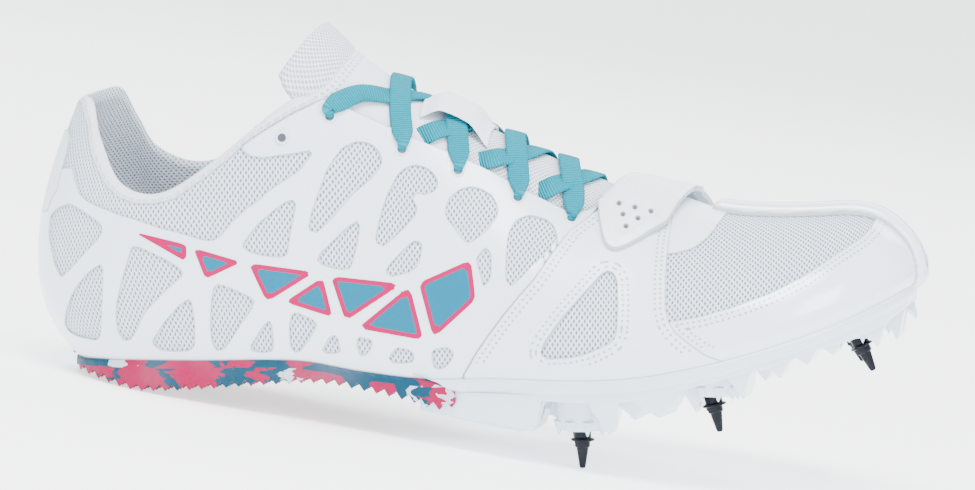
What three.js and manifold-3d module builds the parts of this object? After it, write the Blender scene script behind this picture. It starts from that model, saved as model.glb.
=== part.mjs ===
import * as THREE from 'three';
import { ConvexGeometry } from 'three/addons/geometries/ConvexGeometry.js';
import Module from 'manifold-3d';

// Track spike shoe, right foot. Millimetres, toe along +X, medial side along +Y, +Z up.
// Everything is worked out with the plate level, then the whole shoe is tipped back by TIP
// so that it stands on its heel ribs and on its rear pair of pins.

const wasm = await Module();
wasm.setup();

// Driving sizes
const LENGTH = 264;          // heel curve to toe, over everything
const FOREFOOT = 83;         // feather width across the ball
const TIP = 8.75;            // degrees the plate rises towards the toe when the shoe stands
const WALL = 1.9;            // upper wall
const COLLAR_WALL = 3.0;     // padded collar wall
const FIT = 0.3;             // gap between neighbouring curved pieces
const FILM = 0.9;            // thickness of the overlays
const STRAP = 2.4;
const RUBBER_EDGE = 1.3;     // how far the heel rubber stands outside the upper
const PLATE_EDGE = 1.5;      // how far the plate rim stands outside the upper
const RIB_PITCH = 4.25;      // heel ribs
const RIB_DEPTH = 1.7;
const PIN_LENGTH = 10.6;
const FEATHER_BACK = -0.0795 * LENGTH;    // where the upper meets the sole, at the back and at the toe
const FEATHER_FRONT = 0.854 * LENGTH;

// Rows of a table with some of its columns brought from shares of a size to millimetres
function sized(rows, size, keys) {
  return rows.map((row) => ({ ...row, ...Object.fromEntries(keys.map((key) => [key, row[key] * size])) }));
}

// Height of the feather line, by place along the shoe (shares of LENGTH)
const FEATHER_Z = [
  { x: -0.08, z: 0.030 }, { x: -0.015, z: 0.0325 }, { x: 0.08, z: 0.035 }, { x: 0.195, z: 0.0372 },
  { x: 0.262, z: 0.0277 }, { x: 0.339, z: 0.0208 }, { x: 0.421, z: 0.0235 }, { x: 0.489, z: 0.0235 },
  { x: 0.534, z: 0.025 }, { x: 0.58, z: 0.0295 }, { x: 0.621, z: 0.0371 }, { x: 0.663, z: 0.0466 },
  { x: 0.705, z: 0.0583 }, { x: 0.746, z: 0.0712 }, { x: 0.787, z: 0.0864 }, { x: 0.827, z: 0.1045 },
  { x: 0.87, z: 0.126 },
];

// Feather outline in plan, by share u of the way from heel to toe (shares of FOREFOOT)
const PLAN = [
  { u: 0, lat: 0, med: 0 }, { u: 0.1, lat: -0.181, med: 0.181 }, { u: 0.2, lat: -0.307, med: 0.301 },
  { u: 0.3, lat: -0.355, med: 0.337 }, { u: 0.4, lat: -0.373, med: 0.319 },
  { u: 0.5, lat: -0.416, med: 0.325 }, { u: 0.6, lat: -0.488, med: 0.446 },
  { u: 0.7, lat: -0.476, med: 0.518 }, { u: 0.8, lat: -0.331, med: 0.476 },
  { u: 0.9, lat: -0.12, med: 0.349 }, { u: 1, lat: 0.12, med: 0.12 },
];

// Top line on the outer (lateral) side: collar, throat edge, then the crest of the toe box
const TOP_LATERAL = [
  { u: 0, x: -0.0777, y: 0, z: 0.3258 }, { u: 0.05, x: -0.0725, y: -0.031, z: 0.3258 },
  { u: 0.1, x: -0.0555, y: -0.0555, z: 0.3163 }, { u: 0.15, x: -0.0405, y: -0.0735, z: 0.2746 },
  { u: 0.2, x: -0.0133, y: -0.0909, z: 0.2292 }, { u: 0.25, x: 0.0341, y: -0.1004, z: 0.2197 },
  { u: 0.3, x: 0.0947, y: -0.1023, z: 0.2557 }, { u: 0.35, x: 0.1629, y: -0.0966, z: 0.3106 },
  { u: 0.375, x: 0.197, y: -0.089, z: 0.3277 }, { u: 0.4, x: 0.2424, y: -0.0814, z: 0.3125 },
  { u: 0.45, x: 0.3144, y: -0.0739, z: 0.2803 }, { u: 0.5, x: 0.3864, y: -0.0682, z: 0.25 },
  { u: 0.55, x: 0.4583, y: -0.0606, z: 0.2121 }, { u: 0.575, x: 0.4924, y: -0.0568, z: 0.1989 },
  { u: 0.6, x: 0.5227, y: -0.0379, z: 0.2083 }, { u: 0.625, x: 0.5492, y: 0.0038, z: 0.2311 },
  { u: 0.65, x: 0.5871, y: 0.0083, z: 0.2189 }, { u: 0.7, x: 0.6477, y: 0.0114, z: 0.1992 },
  { u: 0.75, x: 0.7045, y: 0.017, z: 0.1947 }, { u: 0.8, x: 0.7538, y: 0.0227, z: 0.1958 },
  { u: 0.85, x: 0.7917, y: 0.0284, z: 0.197 }, { u: 0.9, x: 0.8201, y: 0.0322, z: 0.1894 },
  { u: 0.95, x: 0.8447, y: 0.036, z: 0.1686 }, { u: 1, x: 0.858, y: 0.0379, z: 0.1458 },
];

// Top line on the inner (medial) side; from the end of the throat on it is the same crest
const TOP_MEDIAL = [
  { u: 0, x: -0.0777, y: 0, z: 0.3258 }, { u: 0.05, x: -0.071, y: 0.031, z: 0.3295 },
  { u: 0.1, x: -0.05, y: 0.0555, z: 0.3307 }, { u: 0.15, x: -0.0325, y: 0.0735, z: 0.2955 },
  { u: 0.2, x: -0.0114, y: 0.0852, z: 0.2614 }, { u: 0.25, x: 0.0341, y: 0.0985, z: 0.2455 },
  { u: 0.3, x: 0.0947, y: 0.1004, z: 0.2652 }, { u: 0.35, x: 0.1629, y: 0.0947, z: 0.3106 },
  { u: 0.375, x: 0.197, y: 0.0871, z: 0.3277 }, { u: 0.4, x: 0.2424, y: 0.0814, z: 0.3163 },
  { u: 0.45, x: 0.3144, y: 0.0758, z: 0.2879 }, { u: 0.5, x: 0.3864, y: 0.072, z: 0.2576 },
  { u: 0.55, x: 0.4583, y: 0.0682, z: 0.2216 }, { u: 0.575, x: 0.4924, y: 0.0606, z: 0.2083 },
  { u: 0.6, x: 0.5227, y: 0.0417, z: 0.2178 },
].concat(TOP_LATERAL.filter((row) => row.u > 0.61));

// Swell of the wall: out and rise at the sole (1), out and drop at the top line (2) (shares of LENGTH)
const SWELL = sized([
  { u: 0, out1: 0.0871, rise1: 0.0758, out2: 0.0398, drop2: 0.0985 },
  { u: 0.05, out1: 0.0795, rise1: 0.0758, out2: 0.0379, drop2: 0.0985 },
  { u: 0.1, out1: 0.0606, rise1: 0.0758, out2: 0.0303, drop2: 0.0909 },
  { u: 0.2, out1: 0.0322, rise1: 0.0758, out2: 0.0152, drop2: 0.0682 },
  { u: 0.3, out1: 0.0189, rise1: 0.0758, out2: 0.0152, drop2: 0.0682 },
  { u: 0.4, out1: 0.017, rise1: 0.0833, out2: 0.0265, drop2: 0.0758 },
  { u: 0.5, out1: 0.0152, rise1: 0.0758, out2: 0.0379, drop2: 0.053 },
  { u: 0.6, out1: 0.0133, rise1: 0.0606, out2: 0.0568, drop2: 0.0265 },
  { u: 0.7, out1: 0.0133, rise1: 0.0606, out2: 0.0833, drop2: 0.0076 },
  { u: 0.8, out1: 0.0152, rise1: 0.053, out2: 0.0682, drop2: 0.0038 },
  { u: 0.9, out1: 0.0152, rise1: 0.0379, out2: 0.0417, drop2: 0.0019 },
  { u: 0.95, out1: 0.0133, rise1: 0.0227, out2: 0.0227, drop2: 0.0019 },
  { u: 1, out1: 0.0076, rise1: 0.0076, out2: 0, drop2: 0.0076 },
], LENGTH, ['out1', 'rise1', 'out2', 'drop2']);

// Smooth value of one column of a table
function column(rows, at, key, where, flatEnds = false) {
  let k = 0;
  while (k < rows.length - 2 && where > rows[k + 1][at]) k += 1;
  const slope = (i) => {
    if (flatEnds && (i === 0 || i === rows.length - 1)) return 0;
    const a = rows[Math.max(i - 1, 0)];
    const b = rows[Math.min(i + 1, rows.length - 1)];
    return (b[key] - a[key]) / (b[at] - a[at]);
  };
  const a = rows[k];
  const b = rows[k + 1];
  const step = b[at] - a[at];
  const t = THREE.MathUtils.clamp((where - a[at]) / step, 0, 1);
  const t2 = t * t;
  const t3 = t2 * t;
  return a[key] * (2 * t3 - 3 * t2 + 1) + slope(k) * step * (t3 - 2 * t2 + t)
    + b[key] * (3 * t2 - 2 * t3) + slope(k + 1) * step * (t3 - t2);
}

const featherZ = (x) => LENGTH * column(FEATHER_Z, 'x', 'z', x / LENGTH);

// Point of the feather line; side is -1 on the outer side and +1 on the inner side
function feather(side, u) {
  const x = FEATHER_BACK + (FEATHER_FRONT - FEATHER_BACK) * (1 - Math.cos(Math.PI * u)) / 2;
  const y = FOREFOOT * column(PLAN, 'u', side < 0 ? 'lat' : 'med', u);
  return new THREE.Vector3(x, y, featherZ(x));
}

// Level direction square to the feather line, away from the shoe
function outward(side, u) {
  if (u < 0.001) return new THREE.Vector3(-1, 0, 0);
  if (u > 0.999) return new THREE.Vector3(1, 0, 0);
  const a = feather(side, Math.max(u - 0.01, 0));
  const b = feather(side, Math.min(u + 0.01, 1));
  return new THREE.Vector3(-side * (b.y - a.y), side * (b.x - a.x), 0).normalize();
}

function topLine(side, u) {
  const rows = side < 0 ? TOP_LATERAL : TOP_MEDIAL;
  const value = (key) => LENGTH * column(rows, 'u', key, u);
  return new THREE.Vector3(value('x'), value('y'), value('z'));
}

// Outer surface of the upper: u runs from heel to toe, v from the sole to the top line
function last(side, u, v) {
  const low = feather(side, u);
  const top = topLine(side, u);
  const out = outward(side, u);
  const across = new THREE.Vector3(0, side, 0);
  const level = out.clone().lerp(across, THREE.MathUtils.smoothstep(u, 0.4, 0.6)).normalize();
  const swell = (key) => column(SWELL, 'u', key, u, true);
  const one = low.clone().addScaledVector(out, swell('out1'));
  one.z += swell('rise1');
  const two = top.clone().addScaledVector(level, swell('out2'));
  two.z -= swell('drop2');
  const w = 1 - v;
  return low.multiplyScalar(w * w * w)
    .addScaledVector(one, 3 * w * w * v)
    .addScaledVector(two, 3 * w * v * v)
    .addScaledVector(top, v * v * v);
}

// Net of the outer surface, shared by the upper and by everything that lies on it
const COLUMNS = [];
for (let i = 0; i <= 22; i += 1) COLUMNS.push(i / 24);
COLUMNS.push(0.945, 0.954, 1);
const ROWS = [0, 0.19, 0.38, 0.57, 0.75, 0.89, 0.945, 1];

function makeNet() {
  const points = [];
  const index = new Map();
  const id = (p) => {
    const key = [p.x, p.y, p.z].map((c) => Math.round(c * 1000)).join(',');
    if (!index.has(key)) {
      index.set(key, points.length);
      points.push({ p, n: new THREE.Vector3(), u: 0, v: 0, side: 0 });
    }
    return index.get(key);
  };
  const faces = [];
  for (const side of [-1, 1]) {
    const grid = COLUMNS.map((u) => ROWS.map((v) => {
      const k = id(last(side, u, v));
      points[k].u = u;
      points[k].v = v;
      points[k].side = side;
      return k;
    }));
    for (let i = 0; i < COLUMNS.length - 1; i += 1) {
      for (let j = 0; j < ROWS.length - 1; j += 1) {
        const [a, b, c, d] = [grid[i][j], grid[i + 1][j], grid[i + 1][j + 1], grid[i][j + 1]];
        for (const tri of [[a, b, c], [a, c, d]]) {
          if (new Set(tri).size < 3) continue;
          faces.push({ side, i, j, tri: side < 0 ? tri : [tri[0], tri[2], tri[1]] });
        }
      }
    }
  }
  for (const { tri } of faces) {
    const [a, b, c] = tri.map((k) => points[k].p);
    const normal = b.clone().sub(a).cross(c.clone().sub(a));
    for (const k of tri) points[k].n.add(normal);
  }
  for (const point of points) point.n.normalize();
  return { points, faces };
}

const net = makeNet();

// Closed geometry from corner positions and faces; corners that meet are one corner
function closed(corners, faces) {
  const index = new Map();
  const positions = [];
  const ids = corners.map((p) => {
    const key = [p.x, p.y, p.z].map((c) => Math.round(c * 2000)).join(',');
    if (!index.has(key)) {
      index.set(key, positions.length / 3);
      positions.push(p.x, p.y, p.z);
    }
    return index.get(key);
  });
  const kept = faces.map((f) => f.map((k) => ids[k])).filter((f) => new Set(f).size === 3);
  const geometry = new THREE.BufferGeometry();
  geometry.setAttribute('position', new THREE.Float32BufferAttribute(positions, 3));
  geometry.setIndex(kept.flat());
  return geometry;
}

// Way the wall runs at a corner of the net, towards the top line; back along the crest where the throat ends
function upWall({ side, u, v }) {
  if (v === 1 && Math.abs(u - 0.625) < 0.001) return new THREE.Vector3(-1, 0, 0);
  return last(side, u, v).sub(last(side, u, v - 0.02)).normalize();
}

// Piece of the net made into a sheet between two heights over it; slide moves its corners up the wall
function sheet(pick, lowHeight, highHeight, slide = () => 0) {
  const faces = net.faces.filter(pick);
  const corners = [];
  const place = new Map();
  const corner = (k, upper) => {
    const key = k * 2 + (upper ? 1 : 0);
    if (!place.has(key)) {
      const point = net.points[k];
      const height = upper ? highHeight(point) : lowHeight(point);
      place.set(key, corners.length);
      const raised = point.p.clone().addScaledVector(point.n, height);
      corners.push(raised.addScaledVector(upWall(point), slide(point)));
    }
    return place.get(key);
  };
  const edges = new Map();
  const out = [];
  for (const { tri } of faces) {
    out.push(tri.map((k) => corner(k, true)));
    out.push([tri[0], tri[2], tri[1]].map((k) => corner(k, false)));
    for (let e = 0; e < 3; e += 1) {
      const [a, b] = [tri[e], tri[(e + 1) % 3]];
      if (edges.has(`${b},${a}`)) edges.delete(`${b},${a}`);
      else edges.set(`${a},${b}`, [a, b]);
    }
  }
  for (const [a, b] of edges.values()) {
    out.push([corner(a, false), corner(b, false), corner(b, true)]);
    out.push([corner(a, false), corner(b, true), corner(a, true)]);
  }
  return closed(corners, out);
}

// Joining and cutting
function toSolid(geometry) {
  const position = geometry.getAttribute('position');
  const corners = [];
  for (let k = 0; k < position.count; k += 1) {
    corners.push(new THREE.Vector3().fromBufferAttribute(position, k));
  }
  const list = geometry.index ? Array.from(geometry.index.array) : corners.map((_, k) => k);
  const faces = [];
  for (let k = 0; k < list.length; k += 3) faces.push([list[k], list[k + 1], list[k + 2]]);
  const welded = closed(corners, faces);
  return new wasm.Manifold(new wasm.Mesh({
    numProp: 3,
    vertProperties: new Float32Array(welded.getAttribute('position').array),
    triVerts: new Uint32Array(welded.index.array),
  }));
}

function toGeometry(solid) {
  const mesh = solid.getMesh();
  const geometry = new THREE.BufferGeometry();
  geometry.setAttribute('position', new THREE.Float32BufferAttribute(mesh.vertProperties, 3));
  geometry.setIndex(new THREE.BufferAttribute(new Uint32Array(mesh.triVerts), 1));
  return geometry;
}

const cutAll = (body, tools) => tools.reduce((left, tool) => left.subtract(tool), body);
const joinAll = (bodies) => bodies.reduce((sum, body) => sum.add(body));

// Outline in the side view (x, z shares of LENGTH) pushed across the shoe from y0 to y1
function sidePrism(outline, y0, y1) {
  const shape = new THREE.Shape(outline.map(([x, z]) => new THREE.Vector2(x * LENGTH, z * LENGTH)));
  const geometry = new THREE.ExtrudeGeometry(shape, { depth: y1 - y0, bevelEnabled: false });
  geometry.rotateX(Math.PI / 2);
  geometry.translate(0, y1, 0);
  return toSolid(geometry);
}

// Outline in plan (shares of LENGTH and of FOREFOOT) pushed up from z0 to z1
function planPrism(outline, z0, z1) {
  const shape = new THREE.Shape(outline.map(([x, y]) => new THREE.Vector2(x * LENGTH, y * FOREFOOT)));
  const geometry = new THREE.ExtrudeGeometry(shape, { depth: z1 - z0, bevelEnabled: false });
  geometry.translate(0, 0, z0);
  return toSolid(geometry);
}

// Upper: one hollow wall, thicker at the collar, open at the collar, the throat and underneath
function upper() {
  const wall = ({ u, v }) => {
    const padding = THREE.MathUtils.smoothstep(v, 0.6, 0.9) * (1 - THREE.MathUtils.smoothstep(u, 0.3, 0.38));
    return -(WALL + (COLLAR_WALL - WALL) * padding);
  };
  return toSolid(sheet(() => true, wall, () => 0));
}

// Windows of the film cage, as corners in the side view (shares of LENGTH)
const LOW_WINDOWS = {
  back: [[-0.106, 0.198], [-0.041, 0.175], [-0.097, 0.112]],
  heel: [[-0.036, 0.144], [-0.084, 0.061], [-0.04, 0.049]],
  tall: [[0.007, 0.161], [0.068, 0.133], [0.006, 0.053], [-0.013, 0.056]],
  ankle: [[0.073, 0.109], [0.081, 0.045], [0.024, 0.045]],
  instep: [[0.1, 0.122], [0.148, 0.104], [0.111, 0.045], [0.097, 0.045]],
  arch1: [[0.163, 0.086], [0.169, 0.045], [0.137, 0.046]],
  arch2: [[0.187, 0.093], [0.219, 0.082], [0.196, 0.045], [0.185, 0.047]],
  arch3: [[0.238, 0.071], [0.245, 0.045], [0.221, 0.045]],
  arch4: [[0.259, 0.068], [0.284, 0.061], [0.269, 0.041]],
  waist1: [[0.303, 0.057], [0.328, 0.051], [0.327, 0.035], [0.294, 0.039]],
  waist2: [[0.344, 0.055], [0.373, 0.056], [0.357, 0.03], [0.345, 0.033]],
};
const HIGH_WINDOWS = {
  wing: [[0.192, 0.216], [0.183, 0.149], [0.13, 0.16]],
  first: [[0.248, 0.278], [0.286, 0.273], [0.289, 0.253], [0.209, 0.172]],
  firstLow: [[0.264, 0.195], [0.254, 0.135], [0.212, 0.152]],
  second: [[0.312, 0.253], [0.351, 0.244], [0.348, 0.222], [0.324, 0.217], [0.328, 0.2], [0.28, 0.16]],
  secondLow: [[0.329, 0.175], [0.335, 0.168], [0.33, 0.137], [0.291, 0.128]],
  third: [[0.388, 0.232], [0.417, 0.217], [0.414, 0.197], [0.381, 0.163], [0.353, 0.201], [0.359, 0.216]],
  thirdLow: [[0.406, 0.169], [0.412, 0.12], [0.403, 0.118], [0.391, 0.153]],
  fourth: [[0.441, 0.201], [0.478, 0.188], [0.481, 0.173], [0.426, 0.117], [0.422, 0.173]],
};

// Edge of the film along the mesh of the quarter and along the collar binding
const QUARTER = [
  [-0.2, 0.29], [-0.085, 0.27], [-0.055, 0.218], [-0.044, 0.207], [-0.01, 0.194], [0.036, 0.18],
  [0.081, 0.169], [0.094, 0.166], [0.105, 0.172], [0.132, 0.201], [0.16, 0.223], [0.194, 0.246],
  [0.211, 0.268], [0.194, 0.264], [0.151, 0.259], [0.133, 0.266], [0.155, 0.289], [0.175, 0.302],
  [0.205, 0.317], [0.222, 0.325], [0.228, 0.42], [-0.2, 0.42],
];

// Line where the film ends and the saddle begins, from the throat down to the sole
const SADDLE_REAR = [
  [0.517, 0.228], [0.507, 0.193], [0.496, 0.181], [0.474, 0.153], [0.457, 0.129], [0.441, 0.11],
  [0.424, 0.091], [0.408, 0.068], [0.394, 0.05], [0.38, 0.023], [0.376, -0.02],
];
const SADDLE_FRONT = [
  [0.617, 0.26], [0.609, 0.195], [0.605, 0.164], [0.602, 0.132], [0.602, 0.1], [0.605, 0.086],
  [0.612, 0.075], [0.629, 0.062], [0.645, 0.052], [0.663, 0.043], [0.7, 0.028], [0.71, -0.02],
];
const SADDLE_WINDOW = [
  [0.538, 0.142], [0.55, 0.136], [0.55, 0.065], [0.51, 0.047], [0.467, 0.047], [0.47, 0.062], [0.51, 0.111],
];
const TOE_TOP = [
  [0.6, 0.084], [0.636, 0.089], [0.673, 0.1], [0.712, 0.115], [0.744, 0.131], [0.777, 0.153],
  [0.809, 0.175], [0.827, 0.198], [0.84, 0.24], [1, 0.24],
];

// Largest body of a solid that a cut has left in several
const largest = (solid) => solid.decompose().reduce((a, b) => (a.volume() > b.volume() ? a : b));

// Space taken by the upper with the gap round it
const pastEdge = (reach) => ({ u, v }) => (v === 1 && u < 0.63 ? reach : 0);
const upperRoom = () => toSolid(sheet(() => true, () => -(COLLAR_WALL + FIT), () => FIT, pastEdge(3 * FIT)));

// Lower edge of the overlays, kept clear of the sole
const overSole = ({ v }) => (v === 0 ? 7 * FIT : 0);

// Space of the sole, under the feather line
const soleRoom = () => slab(6, () => -30, () => 0.2, 0, 1, 30);

const shift = (line, dx) => line.map(([x, z]) => [x + dx / LENGTH, z]);

// Film cage: one skin round the heel and along both sides up to the eyelets, with its windows; the low row
// under the arch is on the outer side only
function filmCage() {
  const skin = toSolid(sheet(
    ({ i }) => i < 15,
    () => FIT,
    () => FIT + FILM,
    overSole,
  ));
  const quarter = sidePrism(QUARTER, -70, 70);
  const ahead = sidePrism([[0.517, 0.42], ...SADDLE_REAR, [1, -0.02], [1, 0.42]], -70, 70);
  const windows = Object.entries({ ...LOW_WINDOWS, ...HIGH_WINDOWS }).map(([name, corners]) => (
    sidePrism(corners, -70, name.startsWith('arch') || name.startsWith('waist') ? 0 : 70)));
  return cutAll(skin, [quarter, ahead, ...windows]);
}

// Saddle: the overlay under the strap, stitched all round, with one mesh window
function saddle(side) {
  const skin = toSolid(sheet(
    (f) => f.side === side && f.i >= 10 && f.i < 18 && f.j < 4,
    () => FIT,
    () => FIT + FILM,
    overSole,
  ));
  const region = sidePrism([...shift(SADDLE_REAR, 0.6).reverse(), [0.517, 0.42], [0.617, 0.42],
    ...SADDLE_FRONT], -70, 70);
  return skin.intersect(region).subtract(sidePrism(SADDLE_WINDOW, -70, 70));
}

// Toe overlay: the glossy guard from the saddle round to the toe, one on each side of the rail
function toeOverlay(side) {
  const skin = toSolid(sheet(
    (f) => f.side === side && f.i >= 13 && f.i < 23 && f.j < 5,
    () => FIT,
    () => FIT + FILM,
    (point) => (point.v === 0.89 ? -2 * FIT : overSole(point)),
  ));
  const above = sidePrism([...TOE_TOP, [1, 0.42], [0.5, 0.42], [0.5, 0.084]], -70, 70);
  const behind = sidePrism([...shift(SADDLE_FRONT, 0.6), [0.3, -0.02], [0.3, 0.42]], -70, 70);
  return cutAll(skin, [above, behind]);
}

// Toe rail: the rolled ridge along the crest from under the strap, over the toe, down to the plate
function toeRail() {
  const height = [1.1, 3.1, 3.8];
  const skin = toSolid(sheet(
    (f) => f.i >= 24 || (f.i >= 15 && f.j >= 5),
    () => FIT,
    ({ u, v }) => {
      if (u === 1 || v === 1) return height[2];
      return v > 0.9 ? height[1] : height[0];
    },
  ));
  const behind = sidePrism([[0.5, -0.02], [0.646, -0.02], [0.646, 0.42], [0.5, 0.42]], -70, 70);
  return cutAll(skin, [behind, soleRoom()]);
}

// Strap: from the sole on the inner side over the throat to its free end on the outer side
const STRAP_OUTER = [
  [0.542, 0.42], [0.542, 0.254], [0.533, 0.241], [0.521, 0.212], [0.523, 0.193], [0.531, 0.176],
  [0.543, 0.168], [0.561, 0.172], [0.583, 0.182], [0.602, 0.195], [0.616, 0.212], [0.629, 0.227],
  [0.634, 0.242], [0.634, 0.42],
];

// The same strap in plan on the inner side (shares of LENGTH and of FOREFOOT)
const STRAP_INNER = [
  [0.5417, -0.006], [0.6345, -0.006], [0.6383, 0.1325], [0.6591, 0.289], [0.697, 0.723], [0.5833, 0.723],
  [0.5682, 0.301],
];

function strap() {
  const low = ({ p }) => 1.5 + 2.6 * THREE.MathUtils.smoothstep(p.x, 0.561 * LENGTH, 0.636 * LENGTH);
  const skin = toSolid(sheet(
    (f) => f.i >= 12 && f.i < 19 && f.j >= 1,
    low,
    (point) => low(point) + STRAP,
  ));
  const region = sidePrism(STRAP_OUTER, -70, 0).add(planPrism(STRAP_INNER, 0, 110));
  return skin.intersect(region).subtract(soleRoom());
}

// Tongue sections from the toe end to the tip (shares of LENGTH): half is half its width, drop its depth
// at the sides; thick is in millimetres
const TONGUE = sized([
  { x: 0.5606, z: 0.2129, half: 0.0341, drop: 0.0189, lean: 0, thick: 2.2 },
  { x: 0.5265, z: 0.228, half: 0.0436, drop: 0.0492, lean: 0, thick: 2.4 },
  { x: 0.4583, z: 0.2568, half: 0.0636, drop: 0.0818, lean: 0, thick: 2.8 },
  { x: 0.3864, z: 0.2898, half: 0.0712, drop: 0.0727, lean: 0, thick: 3.2 },
  { x: 0.3144, z: 0.3231, half: 0.0769, drop: 0.078, lean: 0, thick: 3.6 },
  { x: 0.2803, z: 0.3424, half: 0.0807, drop: 0.0848, lean: 0.0019, thick: 3.8 },
  { x: 0.25, z: 0.3636, half: 0.0856, drop: 0.0932, lean: 0.0057, thick: 4 },
  { x: 0.2254, z: 0.3845, half: 0.0894, drop: 0.0871, lean: 0.0152, thick: 4 },
  { x: 0.2083, z: 0.3996, half: 0.0856, drop: 0.072, lean: 0.0246, thick: 3.6 },
  { x: 0.2008, z: 0.4053, half: 0.0795, drop: 0.0606, lean: 0.0246, thick: 2.2 },
], LENGTH, ['x', 'z', 'half', 'drop', 'lean']);

function tongueBody(spare) {
  const steps = 6;
  const corners = [];
  const faces = [];
  TONGUE.forEach((row) => {
    for (const inner of [0, 1]) {
      for (let k = 0; k <= steps; k += 1) {
        const angle = THREE.MathUtils.degToRad(-84 + 168 * k / steps);
        const half = row.half - inner * row.thick + spare;
        const drop = row.drop - inner * row.thick;
        const fall = 1 - Math.cos(angle);
        corners.push(new THREE.Vector3(
          row.x - row.lean * fall,
          half * Math.sin(angle),
          row.z - inner * row.thick - drop * fall + spare,
        ));
      }
    }
  });
  const ring = 2 * (steps + 1);
  const at = (s, k) => s * ring + (k <= steps ? k : ring - 1 - (k - steps - 1));
  for (let s = 0; s < TONGUE.length - 1; s += 1) {
    for (let k = 0; k < ring; k += 1) {
      const n = (k + 1) % ring;
      faces.push([at(s, k), at(s, n), at(s + 1, n)], [at(s, k), at(s + 1, n), at(s + 1, k)]);
    }
  }
  for (let k = 0; k < steps; k += 1) {
    const back = (TONGUE.length - 1) * ring;
    const [a, b, c, d] = [k, k + 1, steps + 1 + k + 1, steps + 1 + k];
    faces.push([a, c, b], [a, d, c]);
    faces.push([back + a, back + b, back + c], [back + a, back + c, back + d]);
  }
  return toSolid(closed(corners, faces));
}

const tongue = () => largest(tongueBody(0).subtract(upperRoom()));

// Slab that follows the feather outline, between two heights over the feather line
function slab(spread, lowHeight, highHeight, u0, u1, count) {
  const across = 2;
  const corners = [];
  const faces = [];
  for (let i = 0; i <= count; i += 1) {
    const u = u0 + (u1 - u0) * i / count;
    const [a, b] = [-1, 1].map((side) => feather(side, u).addScaledVector(outward(side, u), spread));
    for (let k = 0; k <= across; k += 1) {
      const p = a.clone().lerp(b, k / across);
      p.z = featherZ(THREE.MathUtils.clamp(p.x, FEATHER_BACK, FEATHER_FRONT));
      corners.push(p.clone().setZ(p.z + lowHeight(p.x, p.z)), p.clone().setZ(p.z + highHeight(p.x, p.z)));
    }
  }
  const at = (i, k, top) => (i * (across + 1) + k) * 2 + top;
  for (let i = 0; i < count; i += 1) {
    for (let k = 0; k < across; k += 1) {
      faces.push([at(i, k, 1), at(i + 1, k, 1), at(i + 1, k + 1, 1)]);
      faces.push([at(i, k, 1), at(i + 1, k + 1, 1), at(i, k + 1, 1)]);
      faces.push([at(i, k, 0), at(i + 1, k + 1, 0), at(i + 1, k, 0)]);
      faces.push([at(i, k, 0), at(i, k + 1, 0), at(i + 1, k + 1, 0)]);
    }
    faces.push([at(i, 0, 0), at(i + 1, 0, 0), at(i + 1, 0, 1)], [at(i, 0, 0), at(i + 1, 0, 1), at(i, 0, 1)]);
    faces.push([at(i, across, 0), at(i + 1, across, 1), at(i + 1, across, 0)]);
    faces.push([at(i, across, 0), at(i, across, 1), at(i + 1, across, 1)]);
  }
  for (let k = 0; k < across; k += 1) {
    faces.push([at(0, k, 0), at(0, k, 1), at(0, k + 1, 1)], [at(0, k, 0), at(0, k + 1, 1), at(0, k + 1, 0)]);
    faces.push([at(count, k, 0), at(count, k + 1, 1), at(count, k, 1)]);
    faces.push([at(count, k, 0), at(count, k + 1, 0), at(count, k + 1, 1)]);
  }
  return toSolid(closed(corners, faces));
}

// Space under the standing plane, which flattens what the shoe stands on
function underFloor() {
  const box = new THREE.BoxGeometry(400, 200, 60);
  box.translate(100, 0, -30);
  box.rotateY(THREE.MathUtils.degToRad(TIP));
  return toSolid(box);
}

// Heel rubber: flat top under the heel, level side band, cross ribs underneath
const RUBBER_BOTTOM = [
  { x: -0.09, z: 0.0185 }, { x: -0.0644, z: 0.014 }, { x: -0.0303, z: 0.0062 }, { x: 0.002, z: -0.0006 },
  { x: 0.0326, z: -0.0008 }, { x: 0.0936, z: 0.0034 }, { x: 0.1356, z: 0.0075 }, { x: 0.206, z: 0.0125 },
  { x: 0.2345, z: 0.011 }, { x: 0.2633, z: 0.0064 }, { x: 0.2943, z: 0.0008 }, { x: 0.322, z: -0.0049 },
  { x: 0.3545, z: -0.0129 }, { x: 0.38, z: -0.006 },
];
const RUBBER_END = 0.372;

function heelRubber() {
  const bottom = (x) => LENGTH * column(RUBBER_BOTTOM, 'x', 'z', x / LENGTH);
  const body = slab(RUBBER_EDGE, (x, z) => bottom(x) - z, () => -FIT, 0, 13 / 24, 26);
  const front = sidePrism([[RUBBER_END, -0.1], [RUBBER_END + 0.008, 0.005], [0.352, 0.0155], [0.31, 0.03],
    [0.6, 0.1], [0.6, -0.1]], -60, 60);
  const grooves = [];
  for (let x = -RIB_PITCH / 2 - 4 * RIB_PITCH; x < RUBBER_END * LENGTH - 4; x += RIB_PITCH) {
    const z = bottom(x);
    const [a, b] = [x - RIB_PITCH * 0.42, x + RIB_PITCH * 0.42];
    grooves.push([[a, bottom(a) - 1], [b, bottom(b) - 1], [b, bottom(b)], [x, z + RIB_DEPTH], [a, bottom(a)]]);
  }
  const tools = grooves.map((g) => sidePrism(g.map(([px, pz]) => [px / LENGTH, pz / LENGTH]), -60, 60));
  return cutAll(body, [front, underFloor(), ...tools]);
}

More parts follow.
